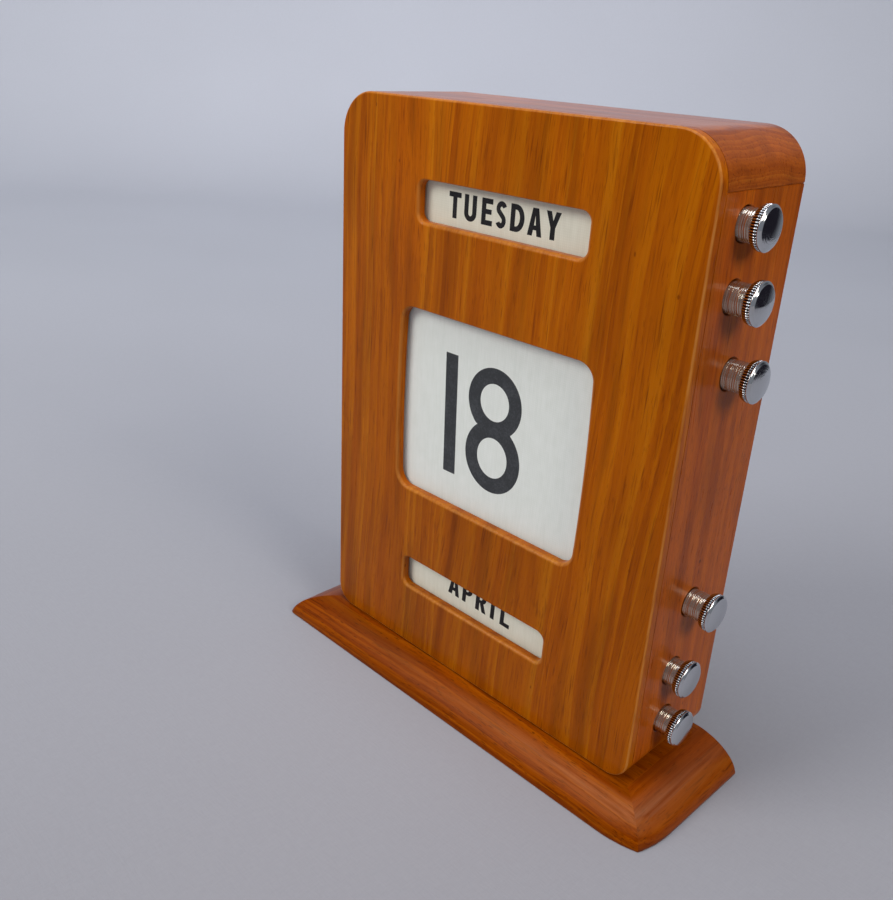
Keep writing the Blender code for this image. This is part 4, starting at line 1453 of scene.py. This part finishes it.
@dataclass
class PrintedBands:
    """The three bands with the legends that the photograph shows."""

    words: dict[str, Letter] = field(default_factory=letter_shapes)
    numerals: dict[str, Letter] = field(default_factory=numeral_shapes)

    def build(self) -> None:
        """Makes each band, its printing and its coils."""
        day = Legend(
            "day",
            INK,
            tuple(self.words[key] for key in "TUESDAY"),
            tuple((x, 201.8) for x in (-27.6, -19.7, -11.1, -4.1, 2.7, 10.7, 18.5)),
        )
        month = Legend(
            "month",
            INK,
            tuple(self.words[key] for key in "APRIL"),
            tuple((x, 46.1) for x in (-16.0, -7.8, -0.1, 8.3, 13.7)),
            tilt=-2.0,
        )
        date = Legend("date", DIGIT_INK, (self.numerals["1"], self.numerals["8"]), ((0.0, 0.0),) * 2)
        for legend, linen in ((day, WORD_LINEN), (date, DATE_LINEN), (month, WORD_LINEN)):
            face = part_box(f"{legend.name}_band")[0].y
            Band(legend.name, linen).build(legend.build(face))
        for roller in ROLLERS:
            Coil(roller).build()


# Knobs


@dataclass
class Flutes:
    """The fluting of a knob's skirt and bead, pressed in by one geometry tree."""

    count: int = 48
    depth: float = 0.45 * MM
    sharpness: float = 1.35

    def tree(self) -> bpy.types.NodeTree:
        """The tree, made once: it moves each vertex towards the axis by its share of a flute.

        Returns:
            The tree, with the inputs Flutes, Depth, Axis and Metal.
        """
        made = bpy.data.node_groups.get("knob_flutes")
        if made:
            return made
        inputs = {"Flutes": "Int", "Depth": "Float", "Axis": "Vector", "Metal": "Material"}
        recipe, given = start_tree("knob_flutes", inputs)
        off = recipe.vector("SUBTRACT", recipe.add("GeometryNodeInputPosition"), given["Axis"])
        across = recipe.vector("MULTIPLY", off, (0.0, 1.0, 1.0))
        parts = recipe.add("ShaderNodeSeparateXYZ", {0: across}).outputs
        angle = recipe.calc("ARCTAN2", parts["Z"], parts["Y"])
        wave = recipe.calc("COSINE", recipe.calc("MULTIPLY", angle, given["Flutes"]))
        groove = recipe.calc("POWER", recipe.calc("MULTIPLY_ADD", wave, 0.5, 0.5), self.sharpness)
        weight = recipe.add("GeometryNodeInputNamedAttribute", {"Name": "flute"}, data_type="FLOAT")
        share = recipe.calc("MULTIPLY", groove, weight)
        back = recipe.calc("MULTIPLY", recipe.calc("MULTIPLY", share, given["Depth"]), -1.0)
        move = recipe.scaled(recipe.vector("NORMALIZE", across), back)
        moved = recipe.add("GeometryNodeSetPosition", {"Geometry": given["Geometry"], "Offset": move})
        # The share of each flute is kept as "groove", where the chrome is painted darker as shade
        stored = {"Geometry": moved, "Name": "groove", "Value": share}
        kept = recipe.add("GeometryNodeStoreNamedAttribute", stored, data_type="FLOAT", domain="POINT")
        return end_tree(recipe, kept, given["Metal"])

    def press(self, piece: Piece, depth: float, height: float) -> None:
        """Flutes one knob and leaves it a plain mesh.

        Args:
            piece: The turned knob, weighted by the attribute "flute".
            depth: Y of its axis.
            height: Z of its axis.
        """
        axis = (0.0, depth, height)
        values = {"Flutes": self.count, "Depth": self.depth, "Axis": axis, "Metal": CHROME.material()}
        run_tree(piece, self.tree(), values)


@dataclass
class Knob:
    """One chromed knob, turned in one piece: shank, stem, fluted skirt, bevel and domed face, in mm."""

    roller: str
    head_thickness: float = 4.6
    skirt: tuple[Point2, ...] = (
        (0.2, 6.5), (0.45, 6.66), (0.75, 6.8), (1.1, 6.92), (1.45, 7.0), (1.75, 7.03),
        (2.05, 7.02), (2.3, 6.97), (2.52, 6.9), (2.68, 6.84),
    )
    bevel: tuple[Point2, ...] = (
        (2.76, 6.86), (2.84, 6.95), (2.94, 7.05), (3.06, 7.1), (3.18, 7.09), (3.3, 7.03),
        (3.42, 6.92), (3.56, 6.75), (3.72, 6.52), (3.88, 6.3), (3.96, 6.2),
    )
    dome_rise: float = 0.6
    dome_radius: float = 6.15
    stem_radius: float = 5.25
    shank_radius: float = 2.9
    shank_length: float = 13.7
    stem_length: float = 16.4
    stem_steps: int = 24
    dome_steps: int = 20
    steps: int = 384

    def profile(self) -> list[tuple[float, float, float, float]]:
        """The points of the turned shape, from the shank's tip to the face's middle.

        Returns:
            Place from the head's back, radius, share of fluting and share of tool rings of each.
        """
        shoulder, neck = -self.stem_length, self.stem_radius
        tip = shoulder - self.shank_length
        points = [(tip, 0.0), (tip, self.shank_radius - 0.3), (tip + 0.3, self.shank_radius)]
        points += [(shoulder, self.shank_radius), (shoulder, neck - 0.2), (shoulder + 0.2, neck)]
        points += [(shoulder * (1 - step / self.stem_steps), neck) for step in range(1, self.stem_steps)]
        back_radius = self.skirt[0][1]
        points += [(-0.05, neck), (0.0, neck + 0.05), (0.0, back_radius - 0.6)]
        plain = [(along, radius, 0.0, 1.0) for along, radius in points]
        head = [(0.0, back_radius - 0.25, 0.75, 0.4), (0.07, back_radius - 0.1, 1.0, 0.3)]
        head += [(along, radius, 1.0, 0.1) for along, radius in self.skirt]
        for step, (along, radius) in enumerate(self.bevel):
            head.append((along, radius, max(0.0, 0.6 - 0.3 * step), 0.05))
        rise = self.dome_rise
        curve = (self.dome_radius**2 + rise**2) / (2 * rise)
        for step in range(self.dome_steps + 1):
            radius = self.dome_radius * (1 - step / self.dome_steps)
            drop = curve - math.sqrt(curve**2 - radius**2)
            head.append((self.head_thickness - drop, radius, 0.0, 0.04))
        return plain + head

    def build(self) -> None:
        """Makes the knob in its place."""
        node = f"{self.roller}_knob"
        depth, height, _ = axis_of(node)
        head_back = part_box(node)[1].x - self.head_thickness * MM
        places, radii, flute, tooling = zip(*self.profile())
        line = [(head_back + along * MM, radius * MM) for along, radius in zip(places, radii)]
        shape = turned(line, self.steps, depth, height, {"flute": flute, "tooling": tooling})
        piece = make_piece(f"{self.roller}_chrome_knob", shape, 40)
        Flutes().press(piece, depth, height)
        dress(piece, CHROME, self.roller, [node])


# Small fittings


@dataclass
class BrassScrews:
    """Eight slotted countersunk screws: one shape set at eight points by a geometry tree, in mm."""

    head_radius: float = 2.9
    head_height: float = 1.8
    shank: float = 1.4
    thread_depth: float = 0.4
    tip: float = 3.0
    plain_end: float = 3.5
    slot_width: float = 0.7
    slot_depth: float = 0.8
    slot_reach: float = 4.0
    first_twist: float = 23.0
    next_twist: float = 67.0
    steps: int = 40

    def one(self, length: float) -> Piece:
        """One screw along X, with its head's face at the origin.

        Args:
            length: Its length in mm.

        Returns:
            The screw.
        """
        profile = [(0.0, 0.0), (0.0, self.head_radius - 0.1), (0.08, self.head_radius)]
        profile += [(0.2, self.head_radius), (self.head_height, self.shank)]
        root = self.shank - self.thread_depth
        for index in range(int(length - self.plain_end - self.head_height)):
            along = self.head_height + 0.5 + index
            profile += [(along, self.shank), (along + 0.35, root), (along + 0.7, self.shank)]
        profile += [(length - self.tip, self.shank), (length, 0.0)]
        shape = turned([(a * MM, r * MM) for a, r in profile], self.steps, 0, 0)
        screw = make_piece("one_screw", shape, 35)
        wide, deep, reach = self.slot_width / 2, self.slot_depth, self.slot_reach * MM
        slot = prism([(-1.0, -wide), (deep, -wide), (deep, wide), (-1.0, wide)], -reach, reach)
        cut_out(screw, [make_piece("slot_cutter", slot)])
        return screw

    def tree(self) -> bpy.types.NodeTree:
        """The tree that sets a screw at each point and turns it by the point's "turn".

        Returns:
            The tree, with the inputs Screw and Brass.
        """
        recipe, given = start_tree("screws_at_points", {"Screw": "Object", "Brass": "Material"})
        shape = recipe.add("GeometryNodeObjectInfo", {"Object": given["Screw"]}).outputs["Geometry"]
        turn = recipe.add("GeometryNodeInputNamedAttribute", {"Name": "turn"}, data_type="FLOAT_VECTOR")
        spin = recipe.add("FunctionNodeEulerToRotation", {0: turn})
        points = recipe.add("GeometryNodeMeshToPoints", {"Mesh": given["Geometry"]})
        sources = {"Points": points, "Instance": shape, "Rotation": spin}
        placed = recipe.add("GeometryNodeInstanceOnPoints", sources)
        return end_tree(recipe, placed, given["Brass"])

    def build_group(self, name: str, nodes: Sequence[str], way: int, tree: bpy.types.NodeTree) -> None:
        """Makes screws of one length as one plain mesh.

        Args:
            name: The piece's name.
            nodes: The CAD nodes that it stands for.
            way: The axis that they lie along: 1 with heads at the back, 2 with heads below.
            tree: The tree that sets them.
        """
        low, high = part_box(nodes[0])
        screw = self.one((high[way] - low[way]) / MM)
        quarter = math.radians(-90)
        laid = Euler((0, 0, quarter) if way == 1 else (0, quarter, 0)).to_matrix()
        spots, turns = [], []
        for index, node in enumerate(nodes):
            low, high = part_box(node)
            spot = (low + high) / 2
            spot[way] = high[way] if way == 1 else low[way]
            spots.append(spot)
            own = Euler((math.radians(self.first_twist + self.next_twist * index), 0, 0)).to_matrix()
            turns.append(tuple((laid @ own).to_euler()))
        mesh = bpy.data.meshes.new(name)
        mesh.from_pydata(spots, [], [])
        attribute = mesh.attributes.new("turn", "FLOAT_VECTOR", "POINT")
        for point, turn in zip(attribute.data, turns):
            point.vector = turn
        piece = bpy.data.objects.new(name, mesh)
        bpy.context.scene.collection.objects.link(piece)
        run_tree(piece, tree, {"Screw": screw, "Brass": BRASS.material()})
        bpy.data.objects.remove(screw)
        dress(piece, BRASS, "case", nodes)

    def build(self) -> None:
        """Makes the six back screws and the two base screws as two plain meshes."""
        tree = self.tree()
        self.build_group("back_panel_screws", BACK_SCREWS, 1, tree)
        self.build_group("base_fixing_screws", ("base_screw_1", "base_screw_2"), 2, tree)


@dataclass
class HiddenFittings:
    """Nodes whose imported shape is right: they keep it and get a real finish."""

    finishes: tuple[tuple[str, Finish], ...] = (
        ("_roller", BEECH),
        ("_pin", BRIGHT_STEEL),
        ("_washer", FELT),
        ("_guide", BRIGHT_STEEL),
    )

    def build(self) -> None:
        """Gives each kept node its finish."""
        kept = {f"{roller}{ending}": finish for ending, finish in self.finishes for roller in ROLLERS}
        kept["case_bottom"] = BACK_TEAK
        for name, finish in kept.items():
            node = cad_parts[name]
            node.data.materials.clear()
            node.data.materials.append(finish.material())
            LOG.info("%s: packed shape kept, %s", name, finish.name)


# Studio


@dataclass(frozen=True)
class Lamp:
    """One soft square light, in metres and watts."""

    name: str
    place: Point3
    aim: Point3
    size: float
    power: float
    tone: str

    def build(self) -> None:
        """Adds the light, turned to the point that it faces."""
        data = bpy.data.lights.new(self.name, "AREA")
        data.shape = "RECTANGLE"
        data.size = data.size_y = self.size
        data.energy = self.power
        data.color = linear(self.tone)[:3]
        lamp = bpy.data.objects.new(self.name, data)
        lamp.location = self.place
        way = Vector(self.aim) - Vector(self.place)
        lamp.rotation_euler = way.to_track_quat("-Z", "Y").to_euler()
        bpy.context.scene.collection.objects.link(lamp)


@dataclass
class Studio:
    """Pale floor swept up behind the calendar, soft lights and the photograph's camera, in metres."""

    camera_place: Point3 = (0.22096, -0.26364, 0.26101)
    camera_turn: Point3 = (66.52964, -2.98427, 45.44685)
    lens: float = 37.6427
    lamps: tuple[Lamp, ...] = (
        Lamp("window_softbox", (-0.75, -1.35, 1.2), (0.0, 0.0, 0.12), 0.9, 18.0, "#fffdf8"),
        Lamp("backdrop_light", (-0.1, -0.1, 1.7), (-1.0, 1.0, 0.45), 0.9, 15.7, "#f4f6ff"),
        Lamp("side_fill", (1.5, -0.2, 1.15), (0.0, 0.0, 0.12), 0.75, 14.5, "#fff6ea"),
    )
    away: Point2 = (-0.713, 0.701)
    right: Point2 = (0.701, 0.713)
    near: float = -1.6
    far: float = 1.25
    bend: float = 0.45
    wall: float = 0.95
    left_reach: float = -1.6
    right_reach: float = 0.85
    sunk: float = 0.0001
    # Painted shade on the sheet: the offset and the run over which it lightens from the floor's front to the
    # wall
    falloff_start: float = 0.35
    falloff_length: float = 2.1
    far_steps: int = 20
    bend_steps: int = 16
    side_steps: int = 12
    room_tone: str = "#c3c8d2"
    room_strength: float = 0.38
    dim_tone: str = "#37343f"
    dim_way: Point3 = (0.62, 0.78, 0.06)
    dim_edge: Point2 = (0.86, 0.95)

    def sweep(self) -> None:
        """Makes the floor and wall as one curved sheet, with its run backwards and up as "run", which the
        cotton's painted shade follows.
        """
        depth, width = self.far - self.near, self.right_reach - self.left_reach
        path = [(self.near + depth * step / self.far_steps, -self.sunk) for step in range(self.far_steps + 1)]
        curve = arc((self.far, self.bend), (self.bend, self.bend), -90, 0, self.bend_steps)[1:]
        path += [(x, z - self.sunk) for x, z in curve]
        path.append((self.far + self.bend, self.wall))
        mesh = bmesh.new()
        shade = mesh.verts.layers.float.new("run")
        columns = [self.left_reach + width * step / self.side_steps for step in range(self.side_steps + 1)]
        rings = []
        for run, height in path:
            points = []
            for side in columns:
                x, y = [self.away[way] * run + self.right[way] * side for way in (0, 1)]
                points.append((x, y, height))
            rings.append(add_ring(mesh, points))
            for vert in rings[-1]:
                # How far back and up each point lies, for the painted shade
                vert[shade] = min(1.0, max(0.0, (run + height + self.falloff_start) / self.falloff_length))
        bridge(mesh, rings, closed=False)
        for face in mesh.faces:
            face.normal_update()
            if face.normal.z < 0 or (abs(face.normal.z) < 0.01 and face.normal.y > 0):
                face.normal_flip()
        cloth = make_piece("floor_sweep", mesh, 60)
        cloth.data.materials.append(COTTON.material())

    def build_room(self) -> None:
        """Makes the pale room, with the dim corner at the right that the upper knobs mirror."""
        world = bpy.data.worlds.new("room")
        world.use_nodes = True
        world.node_tree.nodes.clear()
        recipe = Recipe(world.node_tree)
        way = recipe.add("ShaderNodeTexCoord").outputs["Generated"]
        towards = recipe.vector("DOT_PRODUCT", way, self.dim_way).outputs["Value"]
        tone = recipe.tint(recipe.span(towards, *self.dim_edge), self.room_tone, self.dim_tone)
        room = recipe.add("ShaderNodeBackground", {"Color": tone, "Strength": self.room_strength})
        recipe.add("ShaderNodeOutputWorld", {"Surface": room})
        bpy.context.scene.world = world

    def build(self) -> None:
        """Makes the stage, the lights, the surroundings and the camera."""
        self.sweep()
        for lamp in self.lamps:
            lamp.build()
        self.build_room()
        data = bpy.data.cameras.new("camera")
        data.lens = self.lens
        camera = bpy.data.objects.new("camera", data)
        camera.location = self.camera_place
        camera.rotation_euler = [math.radians(angle) for angle in self.camera_turn]
        bpy.context.scene.collection.objects.link(camera)
        bpy.context.scene.camera = camera
        bpy.context.scene.view_settings.view_transform = "Standard"


def main() -> None:
    """Builds the calendar from the outside in, and then the studio."""
    logging.basicConfig(level=logging.INFO, format="%(message)s")
    FrontPanel().build()
    Boards().build()
    Base().build()
    PrintedBands().build()
    for roller in ROLLERS:
        Knob(roller).build()
    BrassScrews().build()
    HiddenFittings().build()
    Studio().build()


if __name__ == "__main__":
    main()
